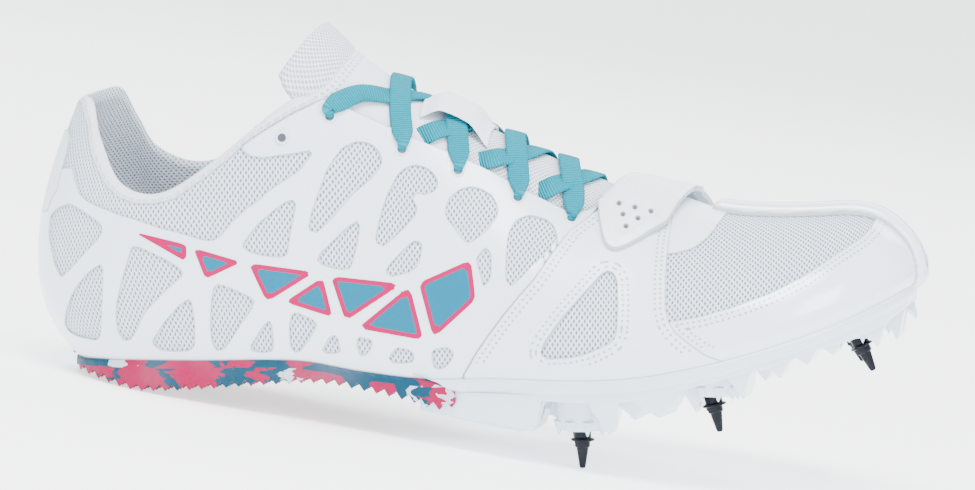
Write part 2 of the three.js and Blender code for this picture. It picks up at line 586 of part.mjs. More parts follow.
// Spike plate: rim, body with a falling underside, cross lugs, bosses with a socket for each pin
const PLATE_BOTTOM = [
  { x: 0.33, z: 0.004 }, { x: 0.38, z: 0.0 }, { x: 0.46, z: 0.0 }, { x: 0.55, z: 0.0 }, { x: 0.606, z: 0.0114 },
  { x: 0.644, z: 0.0208 }, { x: 0.686, z: 0.0322 }, { x: 0.72, z: 0.0398 }, { x: 0.758, z: 0.0549 },
  { x: 0.795, z: 0.0644 }, { x: 0.83, z: 0.0795 }, { x: 0.85, z: 0.095 }, { x: 0.88, z: 0.118 },
];
const PINS = sized(sized([
  { name: 'rear_lateral', x: 0.5076, y: -0.3133, foot: -0.0356, boss: 8.6 },
  { name: 'rear_medial', x: 0.4754, y: 0.241, foot: -0.0356, boss: 8.6 },
  { name: 'middle_lateral', x: 0.6534, y: -0.3012, foot: -0.0034, boss: 8.4 },
  { name: 'middle_medial', x: 0.6174, y: 0.3373, foot: -0.0034, boss: 8.4 },
  { name: 'front_lateral', x: 0.8106, y: -0.0602, foot: 0.0545, boss: 6.4 },
  { name: 'front_medial', x: 0.7879, y: 0.2892, foot: 0.0545, boss: 6.4 },
], LENGTH, ['x', 'foot']), FOREFOOT, ['y']);

// Lugs in the side view: back root, tip and front root (shares of LENGTH); inner and outer are shares of
// the half width
const LUGS = sized([
  { back: 0.3826, tip: 0.4413, z: -0.033, front: 0.4697, inner: 0.25, outer: 1, lean: 0.0189 },
  { back: 0.5152, tip: 0.5436, z: -0.036, front: 0.5568, inner: 0.62, outer: 1, lean: 0.0038 },
  { back: 0.5417, tip: 0.5701, z: -0.0205, front: 0.5947, inner: 0.2, outer: 0.9, lean: 0.0152 },
  { back: 0.5606, tip: 0.5985, z: -0.0159, front: 0.6364, inner: 0.55, outer: 1, lean: 0.0114 },
  { back: 0.6155, tip: 0.6345, z: -0.0136, front: 0.6477, inner: 0.4, outer: 0.8, lean: 0.0038 },
  { back: 0.6667, tip: 0.6875, z: 0.0038, front: 0.697, inner: 0.5, outer: 0.98, lean: 0.0038 },
  { back: 0.6894, tip: 0.7064, z: 0.0197, front: 0.7235, inner: 0.1, outer: 0.7, lean: 0.0076 },
  { back: 0.7083, tip: 0.7254, z: 0.0265, front: 0.7424, inner: 0.55, outer: 1, lean: 0.0038 },
  { back: 0.7348, tip: 0.7538, z: 0.0402, front: 0.7689, inner: 0.5, outer: 1, lean: 0.0038 },
  { back: 0.7614, tip: 0.7803, z: 0.0492, front: 0.7917, inner: 0.55, outer: 1, lean: 0.0038 },
  { back: 0.837, tip: 0.8466, z: 0.0667, front: 0.853, inner: 0.1, outer: 0.7, lean: 0 },
], LENGTH, ['back', 'tip', 'z', 'front', 'lean']);

const plateBottom = (x) => LENGTH * column(PLATE_BOTTOM, 'x', 'z', x / LENGTH);

// Half width of the plate on one side at a place along it
function halfAt(side, x) {
  const share = THREE.MathUtils.clamp((x - FEATHER_BACK) / (FEATHER_FRONT - FEATHER_BACK), 0, 1);
  return feather(side, Math.acos(1 - 2 * share) / Math.PI).y;
}

function lug(row, side) {
  const middle = (x) => (halfAt(-1, x) + halfAt(1, x)) / 2;
  const y = (x, share) => middle(x) + (halfAt(side, x) - middle(x)) * share;
  const root = (x, share) => new THREE.Vector3(x, y(x, share), plateBottom(x) + 1.5);
  const tipZ = (share) => row.z + (1 - share) * 1.5;
  const points = [
    root(row.back, row.inner), root(row.back, row.outer),
    root(row.front, row.inner), root(row.front, row.outer),
    new THREE.Vector3(row.tip, y(row.tip, row.outer * 0.94), tipZ(row.outer)),
    new THREE.Vector3(row.tip + row.lean, y(row.tip, row.inner + 0.1), tipZ(row.inner)),
  ];
  return toSolid(new ConvexGeometry(points));
}

function boss(pin) {
  const top = plateBottom(pin.x) + 2;
  const body = new THREE.CylinderGeometry(pin.boss, pin.boss * 0.72, top - pin.foot, 12);
  body.rotateX(Math.PI / 2);
  body.translate(pin.x, pin.y, (top + pin.foot) / 2);
  return toSolid(body);
}

// Threaded hole in the boss, and free space round the flange of the pin
function socket(pin) {
  return [[2.9, -2.5, 4.4], [4, -14, -1.6]].map(([radius, z0, z1]) => {
    const hole = new THREE.CylinderGeometry(radius, radius, z1 - z0, 8);
    hole.rotateX(Math.PI / 2);
    hole.translate(pin.x, pin.y, pin.foot + (z0 + z1) / 2);
    return toSolid(hole);
  });
}

function spikePlate() {
  const rim = slab(PLATE_EDGE, (x, z) => Math.max(plateBottom(x) - z, -3.6), () => -FIT, 10 / 24, 1, 14);
  const core = slab(PLATE_EDGE - 1.4, (x, z) => plateBottom(x) - z, () => -FIT - 0.4, 10 / 24, 1, 14);
  const rear = sidePrism([[0, -0.1], [0.374, -0.1], [0.3815, 0.0055], [0.353, 0.0172], [0.325, 0.0262],
    [0, 0.08]], -60, 60);
  const lugs = LUGS.flatMap((row) => [lug(row, -1), lug(row, 1)]);
  const solid = joinAll([rim, core, ...lugs, ...PINS.map(boss)]);
  return cutAll(solid, [rear, ...PINS.flatMap(socket)]);
}

// Screw-in pin: threaded stud, thin flange, tapered point
function pin(row) {
  const long = row.name.startsWith('rear') ? PIN_LENGTH + 0.4 : PIN_LENGTH;
  const profile = [[0, -long], [0.85, -long], [1.75, -4.4], [1.9, -3.2], [3.4, -2.9], [3.4, -2.5], [2.5, -2.2],
    [2.5, 3.6], [0, 3.6]];
  const body = new THREE.LatheGeometry(profile.map(([r, z]) => new THREE.Vector2(r, z)), 8);
  body.rotateX(Math.PI / 2);
  body.translate(row.x, row.y, row.foot);
  const solid = toSolid(body);
  return row.name.startsWith('rear') ? solid.subtract(underFloor()) : solid;
}

// Insole: cupped foot bed, thicker under the heel
function insole() {
  const high = (x) => 5.2 - 1.8 * THREE.MathUtils.smoothstep(x, 0.15 * LENGTH, 0.455 * LENGTH);
  return slab(-4, () => 0, high, 0, 1, 24);
}

// Lace: crossings between neighbouring eyelets, one joined ribbon body over the tongue
const EYELETS = [
  { u: 0.39, v: 0.93 }, { u: 0.443, v: 0.92 }, { u: 0.486, v: 0.92 },
  { u: 0.531, v: 0.92 }, { u: 0.573, v: 0.93 },
];
const LACE = { width: 6.2, thick: 1.2, over: 2.4, ahead: 3 };

// Height of the tongue along its middle
const tongueTop = (x) => {
  const rows = TONGUE.slice().reverse();
  return column(rows, 'x', 'z', x);
};

function ribbon(fromSide, fromHole, toSide, toHole) {
  const hole = (side, { u, v }) => {
    const p = last(side, u, v);
    const along = last(side, u + 0.01, v).sub(p);
    const up = last(side, u, v + 0.02).sub(p);
    return p.addScaledVector(along.cross(up).normalize().multiplyScalar(-side), LACE.over);
  };
  const edge = (side, { u }) => last(side, u, 1).add(new THREE.Vector3(0, side * 0.4, LACE.over + 0.3));
  const [from, to] = [hole(fromSide, fromHole), hole(toSide, toHole)];
  const [over, under] = [edge(fromSide, fromHole), edge(toSide, toHole)];
  const x = (from.x + to.x) / 2 + LACE.ahead;
  const crest = new THREE.Vector3(x, 0, tongueTop(x) + LACE.thick / 2 + 0.9);
  const rise = (p) => p.clone().lerp(crest, 0.5).add(new THREE.Vector3(0, 0, 4.6));
  const points = [from, over, rise(over), crest, rise(under), under, to];
  const path = new THREE.CatmullRomCurve3(points);
  const corners = [];
  const faces = [];
  const steps = 5;
  for (let s = 0; s <= steps; s += 1) {
    const p = path.getPoint(s / steps);
    const along = path.getTangent(s / steps);
    const wide = new THREE.Vector3(1, 0, 0).addScaledVector(along, -along.x).normalize();
    const up = wide.clone().cross(along).normalize();
    if (up.z < 0) up.negate();
    const [w, h] = [LACE.width / 2, LACE.thick / 2];
    for (const [a, b] of [[-w, -h], [w, -h], [w, h], [-w, h]]) {
      corners.push(p.clone().addScaledVector(wide, a).addScaledVector(up, b));
    }
  }
  const flip = from.y > to.y;
  const push = (a, b, c) => faces.push(flip ? [a, c, b] : [a, b, c]);
  for (let s = 0; s < steps; s += 1) {
    for (let k = 0; k < 4; k += 1) {
      const [a, b, c, d] = [s * 4 + k, s * 4 + (k + 1) % 4, (s + 1) * 4 + (k + 1) % 4, (s + 1) * 4 + k];
      push(a, c, b);
      push(a, d, c);
    }
  }
  const e = steps * 4;
  push(0, 1, 2);
  push(0, 2, 3);
  push(e, e + 2, e + 1);
  push(e, e + 3, e + 2);
  return toSolid(closed(corners, faces));
}

function lace() {
  const strands = [];
  for (let k = 1; k < EYELETS.length; k += 1) {
    strands.push(ribbon(-1, EYELETS[k], 1, EYELETS[k - 1]));
    strands.push(ribbon(1, EYELETS[k], -1, EYELETS[k - 1]));
  }
  const room = toSolid(sheet(() => true, () => -COLLAR_WALL, () => 2 * FIT + FILM, pastEdge(FIT)));
  return largest(joinAll(strands).subtract(room).subtract(tongueBody(FIT)));
}

// Lace keeper: a flat band on the middle of the tongue, raised where the lace runs through it
const KEEPER = { from: 0.303 * LENGTH, to: 0.3826 * LENGTH, width: 9, rise: 5.1, thick: 1 };

function laceKeeper() {
  const top = [];
  const bottom = [];
  const steps = 10;
  for (let k = 0; k <= steps; k += 1) {
    const t = k / steps;
    const x = THREE.MathUtils.lerp(KEEPER.from, KEEPER.to, t);
    const arch = THREE.MathUtils.smoothstep(Math.min(t, 1 - t), 0, 0.3) * KEEPER.rise;
    const z = tongueTop(x) + 1.5 * FIT + arch;
    bottom.push([x / LENGTH, z / LENGTH]);
    top.push([x / LENGTH, (z + KEEPER.thick) / LENGTH]);
  }
  return sidePrism([...bottom, ...top.reverse()], -KEEPER.width / 2, KEEPER.width / 2);
}

// Assembly
const shoe = new THREE.Group();
shoe.rotation.y = -THREE.MathUtils.degToRad(TIP);

function add(name, solid, color, roughness, metalness) {
  const mesh = new THREE.Mesh(
    toGeometry(solid),
    new THREE.MeshStandardMaterial({ color, roughness, metalness }),
  );
  mesh.name = name;
  shoe.add(mesh);
}

add('upper', upper(), 0xe4eaef, 0.85, 0);
add('film_cage', filmCage(), 0xf4f7fa, 0.35, 0);
add('saddle_lateral', saddle(-1), 0xf2f5f8, 0.45, 0);
add('saddle_medial', saddle(1), 0xf2f5f8, 0.45, 0);
add('toe_overlay_lateral', toeOverlay(-1), 0xf6f9fb, 0.2, 0);
add('toe_overlay_medial', toeOverlay(1), 0xf6f9fb, 0.2, 0);
add('toe_rail', toeRail(), 0xf6f9fb, 0.25, 0);
add('strap', strap(), 0xf3f6f9, 0.4, 0);
add('tongue', tongue(), 0xe9eef2, 0.8, 0);
add('lace', lace(), 0x62c3da, 0.8, 0);
add('lace_keeper', laceKeeper(), 0xf1f4f7, 0.6, 0);
add('insole', insole(), 0xd9dfe4, 0.9, 0);
add('heel_outsole', heelRubber(), 0xc9557f, 0.6, 0);
add('spike_plate', spikePlate(), 0xe6eef3, 0.3, 0);
for (const row of PINS) add(`pin_${row.name}`, pin(row), 0x17181b, 0.35, 0.9);

const root = new THREE.Group();
root.add(shoe);
export default root;
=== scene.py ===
"""Track spike shoe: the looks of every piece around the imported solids.

The shoe is drawn with its plate level, in millimetres, and then tipped back onto its heel
and its rear pins and brought to metres by stand(). Outlines of films and seams are given in
the side drawing, which is the outer side as it shows from the camera, at 3.4 units per
millimetre; the inner side takes the same outlines from its twin points on the outer side.
"""
import math

import bmesh
import bpy
import numpy as np
from mathutils import Matrix, Vector, kdtree


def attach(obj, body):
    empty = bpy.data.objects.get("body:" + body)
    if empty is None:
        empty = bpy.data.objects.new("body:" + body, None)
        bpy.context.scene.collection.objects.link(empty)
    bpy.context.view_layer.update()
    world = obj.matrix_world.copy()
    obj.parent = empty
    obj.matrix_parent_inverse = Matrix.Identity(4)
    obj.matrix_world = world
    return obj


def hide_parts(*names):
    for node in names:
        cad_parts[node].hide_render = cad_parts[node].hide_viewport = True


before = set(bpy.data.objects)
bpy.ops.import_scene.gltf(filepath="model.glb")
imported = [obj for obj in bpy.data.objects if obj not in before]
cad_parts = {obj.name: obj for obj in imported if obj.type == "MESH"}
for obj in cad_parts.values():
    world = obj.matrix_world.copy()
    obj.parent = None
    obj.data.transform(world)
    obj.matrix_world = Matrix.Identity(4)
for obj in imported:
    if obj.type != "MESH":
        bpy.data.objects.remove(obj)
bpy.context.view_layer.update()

# Studio: a white sweep under soft lamps, and the camera on the outer side of the shoe.
# The camera looks at the shoe as the photograph does, so it rolls with the shoe as that
# tips back onto its heel.
TIP = math.radians(8.75)      # the plate rises towards the toe when the shoe stands
AZIMUTH, ELEVATION = math.radians(10.0), math.radians(4.0)
DISTANCE = 1300.0
SCALE = 3.4                   # units of the side drawing in a millimetre
DRAWING = np.array([975.0, 490.0])
TARGET = np.array([101.607, 0.0, 41.845])
AHEAD = np.array([-math.sin(AZIMUTH) * math.cos(ELEVATION), math.cos(AZIMUTH) * math.cos(ELEVATION),
                  -math.sin(ELEVATION)])
RIGHT = np.array([math.cos(AZIMUTH), math.sin(AZIMUTH), 0.0])
UP = np.cross(RIGHT, AHEAD)


def stand(points):
    """Level plate in millimetres to the standing shoe in metres."""
    points = np.asarray(points, float)
    out = np.empty_like(points)
    out[..., 0] = points[..., 0] * math.cos(TIP) - points[..., 2] * math.sin(TIP)
    out[..., 1] = points[..., 1]
    out[..., 2] = points[..., 0] * math.sin(TIP) + points[..., 2] * math.cos(TIP)
    return out / 1000.0


def drawn(points):
    """Place of each point in the side drawing."""
    away = np.asarray(points, float) - (TARGET - DISTANCE * AHEAD)
    depth = away @ AHEAD
    scale = SCALE * DISTANCE / depth
    return DRAWING / 2 + np.stack([scale * (away @ RIGHT), -scale * (away @ UP)], -1)


def set_camera():
    place = stand(TARGET - DISTANCE * AHEAD)
    turn = np.array([stand(v) * 1000.0 for v in (RIGHT, UP, -AHEAD)]).T
    data = bpy.data.cameras.new("camera")
    data.sensor_width = 36.0
    data.lens = SCALE * DISTANCE * data.sensor_width / DRAWING[0]
    data.clip_start = 0.05
    data.clip_end = 60.0
    camera = bpy.data.objects.new("camera", data)
    camera.matrix_world = Matrix.Translation(place) @ Matrix(turn.tolist()).to_4x4()
    bpy.context.collection.objects.link(camera)
    bpy.context.scene.camera = camera


def set_lamp(name, place, aim, size, power):
    data = bpy.data.lights.new(name, "AREA")
    data.shape = "RECTANGLE"
    data.size, data.size_y = size
    data.energy = power
    lamp = bpy.data.objects.new(name, data)
    lamp.location = place
    lamp.rotation_euler = (Vector(aim) - Vector(place)).to_track_quat("-Z", "Y").to_euler()
    bpy.context.collection.objects.link(lamp)


def new_material(name, color, roughness, **constants):
    """Principled material whose fixed values are set on the shader itself."""
    material = bpy.data.materials.new(name)
    material.use_nodes = True
    shader = material.node_tree.nodes["Principled BSDF"]
    shader.inputs["Base Color"].default_value = (*color, 1.0)
    shader.inputs["Roughness"].default_value = roughness
    for key, value in constants.items():
        shader.inputs[key.replace("_", " ").title().replace("Ior", "IOR")].default_value = value
    return material, material.node_tree, shader


set_camera()
set_lamp("key_lamp", (0.2, -0.8, 1.6), (0.1, 0.0, 0.05), (1.1, 0.7), 68.0)
set_lamp("toe_lamp", (1.3, -0.9, 0.9), (0.18, 0.0, 0.05), (0.5, 0.7), 16.0)
set_lamp("rim_lamp", (0.1, 1.5, 1.3), (0.1, 0.0, 0.06), (2.2, 0.9), 30.0)
bpy.ops.mesh.primitive_plane_add(size=14.0, location=(0.1, 0.0, 0.0))
floor = bpy.context.object
floor.name = "floor"
floor_paint, _, floor_shader = new_material("floor_paint", (0.95, 0.945, 0.94), 0.7)
floor_shader.inputs["Emission Color"].default_value = (1.0, 1.0, 1.0, 1.0)
floor_shader.inputs["Emission Strength"].default_value = 1.3
floor.data.materials.append(floor_paint)
world = bpy.data.worlds.new("studio_air")
world.use_nodes = True
world.node_tree.nodes["Background"].inputs["Color"].default_value = (0.9, 0.955, 1.0, 1.0)
world.node_tree.nodes["Background"].inputs["Strength"].default_value = 1.9
bpy.context.scene.world = world

# Upper: one lasted wall of open white mesh, soft and padded round the collar, where it is
# bound in smooth cloth and lined with grey mesh. Its outer surface is worked out from
# sections along the last, and every film and overlay below is cut to lie on it.
LENGTH = 264.0
FOREFOOT = 83.0
FEATHER_ENDS = (-0.0795 * LENGTH, 0.854 * LENGTH)
WALL = 1.9
COLLAR_WALL = 3.0
THROAT_END = 0.625

# place along the shoe and height of the feather line, shares of the length
FEATHER_Z = np.array([
    (-0.08, 0.030), (-0.015, 0.0325), (0.08, 0.035), (0.195, 0.0372), (0.262, 0.0277), (0.339, 0.0208),
    (0.421, 0.0235), (0.489, 0.0235), (0.534, 0.025), (0.58, 0.0295), (0.621, 0.0371), (0.663, 0.0466),
    (0.705, 0.0583), (0.746, 0.0712), (0.787, 0.0864), (0.827, 0.1045), (0.87, 0.126)])

# share of the way to the toe, outer half width, inner half width
PLAN = np.array([
    (0, 0, 0), (0.1, -0.181, 0.181), (0.2, -0.307, 0.301), (0.3, -0.355, 0.337), (0.4, -0.373, 0.319),
    (0.5, -0.416, 0.325), (0.6, -0.488, 0.446), (0.7, -0.476, 0.518), (0.8, -0.331, 0.476),
    (0.9, -0.12, 0.349), (1, 0.12, 0.12)])

# share of the way to the toe, then x, y and z of the top line
TOP_OUTER = np.array([
    (0, -0.0777, 0, 0.3258), (0.05, -0.0725, -0.031, 0.3258), (0.1, -0.0555, -0.0555, 0.3163),
    (0.15, -0.0405, -0.0735, 0.2746), (0.2, -0.0133, -0.0909, 0.2292), (0.25, 0.0341, -0.1004, 0.2197),
    (0.3, 0.0947, -0.1023, 0.2557), (0.35, 0.1629, -0.0966, 0.3106), (0.375, 0.197, -0.089, 0.3277),
    (0.4, 0.2424, -0.0814, 0.3125), (0.45, 0.3144, -0.0739, 0.2803), (0.5, 0.3864, -0.0682, 0.25),
    (0.55, 0.4583, -0.0606, 0.2121), (0.575, 0.4924, -0.0568, 0.1989), (0.6, 0.5227, -0.0379, 0.2083),
    (0.625, 0.5492, 0.0038, 0.2311), (0.65, 0.5871, 0.0083, 0.2189), (0.7, 0.6477, 0.0114, 0.1992),
    (0.75, 0.7045, 0.017, 0.1947), (0.8, 0.7538, 0.0227, 0.1958), (0.85, 0.7917, 0.0284, 0.197),
    (0.9, 0.8201, 0.0322, 0.1894), (0.95, 0.8447, 0.036, 0.1686), (1, 0.858, 0.0379, 0.1458)])
TOP_INNER = np.array([
    (0, -0.0777, 0, 0.3258), (0.05, -0.071, 0.031, 0.3295), (0.1, -0.05, 0.0555, 0.3307),
    (0.15, -0.0325, 0.0735, 0.2955), (0.2, -0.0114, 0.0852, 0.2614), (0.25, 0.0341, 0.0985, 0.2455),
    (0.3, 0.0947, 0.1004, 0.2652), (0.35, 0.1629, 0.0947, 0.3106), (0.375, 0.197, 0.0871, 0.3277),
    (0.4, 0.2424, 0.0814, 0.3163), (0.45, 0.3144, 0.0758, 0.2879), (0.5, 0.3864, 0.072, 0.2576),
    (0.55, 0.4583, 0.0682, 0.2216), (0.575, 0.4924, 0.0606, 0.2083), (0.6, 0.5227, 0.0417, 0.2178),
    (0.625, 0.5492, 0.0038, 0.2311), (0.65, 0.5871, 0.0083, 0.2189)])

# share of the way to the toe, then the swell out and up at the sole, and out and down at the top line
SWELL = np.array([
    (0, 23, 20, 10.5, 26), (0.05, 21, 20, 10, 26), (0.1, 16, 20, 8, 24), (0.2, 8.5, 20, 4, 18), (0.3, 5, 20, 4, 18),
    (0.4, 4.5, 22, 7, 20), (0.5, 4, 20, 10, 14), (0.6, 3.5, 16, 15, 7), (0.7, 3.5, 16, 22, 2),
    (0.8, 4, 14, 18, 1), (0.9, 4, 10, 11, 0.5), (0.95, 3.5, 6, 6, 0.5), (1, 2, 2, 0, 2)])

# creases in the side drawing: two ends, depth and width in millimetres
CREASES = [
    ((690, 262), (726, 226), 0.55, 3.2), ((716, 262), (748, 224), 0.4, 2.8), ((742, 268), (770, 232), 0.3, 2.8),
    ((690, 300), (730, 276), 0.3, 3.5), ((56, 262), (120, 206), 0.3, 4.5), ((150, 236), (236, 206), 0.35, 4.0),
    ((230, 176), (292, 132), 0.3, 3.5), ((256, 288), (330, 296), 0.25, 5.0), ((420, 300), (500, 262), 0.3, 5.0)]

# edge of the smooth binding that runs round the collar to the top eyelet
BINDING = [
    (70, 60), (72, 84), (78, 100), (81, 104), (84, 115), (87, 125), (88, 140), (91, 155), (98, 172), (105, 185),
    (117, 197), (135, 204), (155, 204), (175, 199), (190, 188), (205, 178), (217, 168), (230, 158), (241, 147),
    (250, 140), (265, 130), (283, 119), (295, 112), (310, 105), (320, 100), (330, 60)]


def column(rows, key, where, flat_ends=False):
    """Smooth value of one column of a table."""
    at, values = rows[:, 0], rows[:, key]
    slope = np.empty(len(at))
    slope[1:-1] = (values[2:] - values[:-2]) / (at[2:] - at[:-2])
    slope[0] = 0 if flat_ends else (values[1] - values[0]) / (at[1] - at[0])
    slope[-1] = 0 if flat_ends else (values[-1] - values[-2]) / (at[-1] - at[-2])
    where = np.asarray(where, float)
    k = np.clip(np.searchsorted(at, where, side="right") - 1, 0, len(at) - 2)
    step = at[k + 1] - at[k]
    t = np.clip((where - at[k]) / step, 0, 1)
    return (values[k] * (2 * t**3 - 3 * t**2 + 1) + slope[k] * step * (t**3 - 2 * t**2 + t)
            + values[k + 1] * (3 * t**2 - 2 * t**3) + slope[k + 1] * step * (t**3 - t**2))


def smoothstep(value, low, high):
    t = np.clip((value - low) / (high - low), 0, 1)
    return t * t * (3 - 2 * t)


def feather_z(x):
    return LENGTH * column(FEATHER_Z, 1, np.asarray(x) / LENGTH)


def feather(turn):
    """Feather line: -1 to 0 is the outer side from toe to heel, 0 to 1 the inner side back to the toe."""
    turn = (np.asarray(turn, float) + 1) % 2 - 1
    share = np.abs(turn)
    x = FEATHER_ENDS[0] + (FEATHER_ENDS[1] - FEATHER_ENDS[0]) * (1 - np.cos(np.pi * share)) / 2
    y = FOREFOOT * np.where(turn < 0, column(PLAN, 1, share), column(PLAN, 2, share))
    return np.stack([x, y, feather_z(x)], -1)


# small step along the shoe, as a share of one side, that directions are measured with
TURN_STEP = 0.004


def outward(turn):
    """Level way out of the shoe from the feather line."""
    along = feather(turn + TURN_STEP) - feather(turn - TURN_STEP)
    out = np.stack([-along[..., 1], along[..., 0], np.zeros(along.shape[:-1])], -1)
    return out / np.linalg.norm(out, axis=-1, keepdims=True)


def last_surface(turn, rise):
    """Outer surface of the upper: turn goes round the shoe, rise from the sole (0) to the top line (1)."""
    turn = (np.asarray(turn, float) + 1) % 2 - 1
    share = np.abs(turn)
    inner = (turn > 0) & (share < THROAT_END)
    top = np.stack([LENGTH * np.where(inner, column(TOP_INNER, k, share), column(TOP_OUTER, k, share))
                    for k in (1, 2, 3)], -1)
    low = feather(turn)
    out = outward(turn)
    across = np.stack([np.zeros_like(turn), np.where(turn < 0, -1.0, 1.0), np.zeros_like(turn)], -1)
    mix = smoothstep(share, 0.4, 0.6)[..., None]
    level = out * (1 - mix) + across * mix
    level /= np.linalg.norm(level, axis=-1, keepdims=True)
    swell = [column(SWELL, k, share, True)[..., None] for k in (1, 2, 3, 4)]
    up = np.array([0.0, 0.0, 1.0])
    one = low + out * swell[0] + up * swell[1]
    two = top + level * swell[2] - up * swell[3]
    v = np.asarray(rise, float)[..., None]
    w = 1 - v
    return low * w**3 + one * 3 * w**2 * v + two * 3 * w * v**2 + top * v**3


def twin_drawn(turn, rise):
    """Place in the side drawing of the point's twin on the outer side."""
    return drawn(last_surface(-np.abs(turn), rise))


def crease_depth(place):
    """How deep the creases are at places of the side drawing, in millimetres."""
    depth = np.zeros(place.shape[:-1])
    for start, end, deep, wide in CREASES:
        a, b = np.array(start, float), np.array(end, float)
        t = np.clip(((place - a) @ (b - a)) / ((b - a) @ (b - a)), 0, 1)
        away = np.linalg.norm(place - a - t[..., None] * (b - a), axis=-1) / SCALE
        depth += deep * np.exp(-(away / wide) ** 2) * np.sin(np.pi * np.clip(t, 0.03, 0.97)) ** 0.6
    return depth


def face_normals(points, tris):
    """Way out of the net at each point, from the faces round it."""
    normal = np.zeros_like(points)
    corner = points[tris]
    face = np.cross(corner[:, 1] - corner[:, 0], corner[:, 2] - corner[:, 0])
    for k in range(3):
        np.add.at(normal, tris[:, k], face)
    return normal / np.maximum(np.linalg.norm(normal, axis=1, keepdims=True), 1e-9)


def grid_tris(ids):
    """Triangles of a grid of vertex numbers, the way that puts the outside of the shoe outside."""
    a, b, a1, b1 = ids[:-1, :-1], ids[:-1, 1:], ids[1:, :-1], ids[1:, 1:]
    quads = np.stack([a, b, b1, a1], -1).reshape(-1, 4)
    tris = np.concatenate([quads[:, [0, 1, 2]], quads[:, [0, 2, 3]]])
    keep = (tris[:, 0] != tris[:, 1]) & (tris[:, 1] != tris[:, 2]) & (tris[:, 0] != tris[:, 2])
    return tris[keep]


# columns of a net's table: point, normal, share, rise, length along, length up, drawn place, side
POINT, NORMAL, SHARE, RISE, WEAVE, PLACE, SIDE = (
    slice(0, 3), slice(3, 6), 6, 7, slice(8, 10), slice(10, 12), 12)


def lasted_net(turns, rises):
    """Net of the outer surface, closed round the shoe, with its table; creases are pressed in."""
    turn, rise = np.meshgrid(turns, rises, indexing="ij")
    points = last_surface(turn, rise)
    place = twin_drawn(turn, rise)
    ids = np.arange(turn.size).reshape(turn.shape)
    count = len(turns)
    for i in range(count // 2 + 1, count):
        if turns[i] > THROAT_END - 1e-9:
            ids[i, -1] = ids[count - i, -1]
    tris = grid_tris(np.vstack([ids, ids[:1]]))
    points = points.reshape(-1, 3)
    place = place.reshape(-1, 2)
    normals = face_normals(points, tris)
    points = points - normals * crease_depth(place)[:, None]
    normals = face_normals(points, tris)
    grid = points.reshape(*turn.shape, 3)
    ring = grid[:, int(len(rises) * 0.35)]      # lengths along the shoe are taken a third of the way up
    along = np.concatenate([[0], np.cumsum(np.linalg.norm(np.diff(ring, axis=0), axis=1))])
    climb = np.concatenate([np.zeros((len(turns), 1)),
                            np.cumsum(np.linalg.norm(np.diff(grid, axis=1), axis=2), axis=1)], 1)
    table = np.column_stack([
        points, normals, np.abs(turn).reshape(-1), rise.reshape(-1),
        np.repeat(along, len(rises)), climb.reshape(-1), place, np.sign(turn).reshape(-1)])
    return tris, table


def depth_in(outline, where):
    """How far inside a closed outline each point lies, in drawing units; negative outside."""
    outline = np.asarray(outline, float)
    best = np.full(len(where), 1e9)
    inside = np.zeros(len(where), bool)
    for p, q in zip(outline, np.roll(outline, -1, axis=0)):
        along = q - p
        t = np.clip(((where - p) @ along) / (along @ along), 0, 1)
        best = np.minimum(best, np.linalg.norm(where - p - t[:, None] * along, axis=1))
        if p[1] != q[1]:
            crosses = (p[1] > where[:, 1]) != (q[1] > where[:, 1])
            inside ^= crosses & (where[:, 0] < along[0] * (where[:, 1] - p[1]) / along[1] + p[0])
    return np.where(inside, best, -best)


def rounded(outline, cut=0.14):
    """Outline with its corners cut to a soft curve."""
    p = np.asarray(outline, float)
    for _ in range(2):
        q = np.roll(p, -1, axis=0)
        p = np.stack([(1 - cut) * p + cut * q, cut * p + (1 - cut) * q], 1).reshape(-1, 2)
    return p


def trim(tris, table, keep):
    """Cuts a net along the line where keep falls to zero, and leaves the side where it is positive."""
    keep = np.where(np.abs(keep) < 0.05, 0.05, keep)
    inside = keep > 0
    count = inside[tris].sum(1)
    made = [tris[count == 3]]
    pairs, corners = [], []
    for n in (1, 2):
        chosen = tris[count == n]
        odd = inside[chosen] if n == 1 else ~inside[chosen]
        k = odd.argmax(1)
        span = np.arange(len(chosen))
        a, b, c = chosen[span, k], chosen[span, (k + 1) % 3], chosen[span, (k + 2) % 3]
        pairs += [np.column_stack([a, b]), np.column_stack([a, c])]
        corners.append((n, a, b, c))
    edges = np.sort(np.concatenate(pairs), axis=1)
    unique, place = np.unique(edges, axis=0, return_inverse=True)
    place = place.reshape(-1) + len(table)
    rows = [table]
    if len(unique):
        p, q = unique[:, 0], unique[:, 1]
        w = (keep[p] / (keep[p] - keep[q]))[:, None]
        rows.append(table[p] * (1 - w) + table[q] * w)
    start = 0
    for n, a, b, c in corners:
        ab = place[start:start + len(a)]
        ac = place[start + len(a):start + 2 * len(a)]
        start += 2 * len(a)
        if n == 1:
            made.append(np.column_stack([a, ab, ac]))
        else:
            made += [np.column_stack([ab, b, c]), np.column_stack([ab, c, ac])]
    tris = np.concatenate(made)
    used, flat = np.unique(tris, return_inverse=True)
    return flat.reshape(-1, 3), np.concatenate(rows)[used]


def open_edges(tris):
    """Edges that only one triangle has, in that triangle's direction."""
    edges = np.concatenate([tris[:, [0, 1]], tris[:, [1, 2]], tris[:, [2, 0]]])
    key = edges.min(1) * (edges.max() + 1) + edges.max(1)
    _, first, count = np.unique(key, return_index=True, return_counts=True)
    return edges[first[count == 1]]


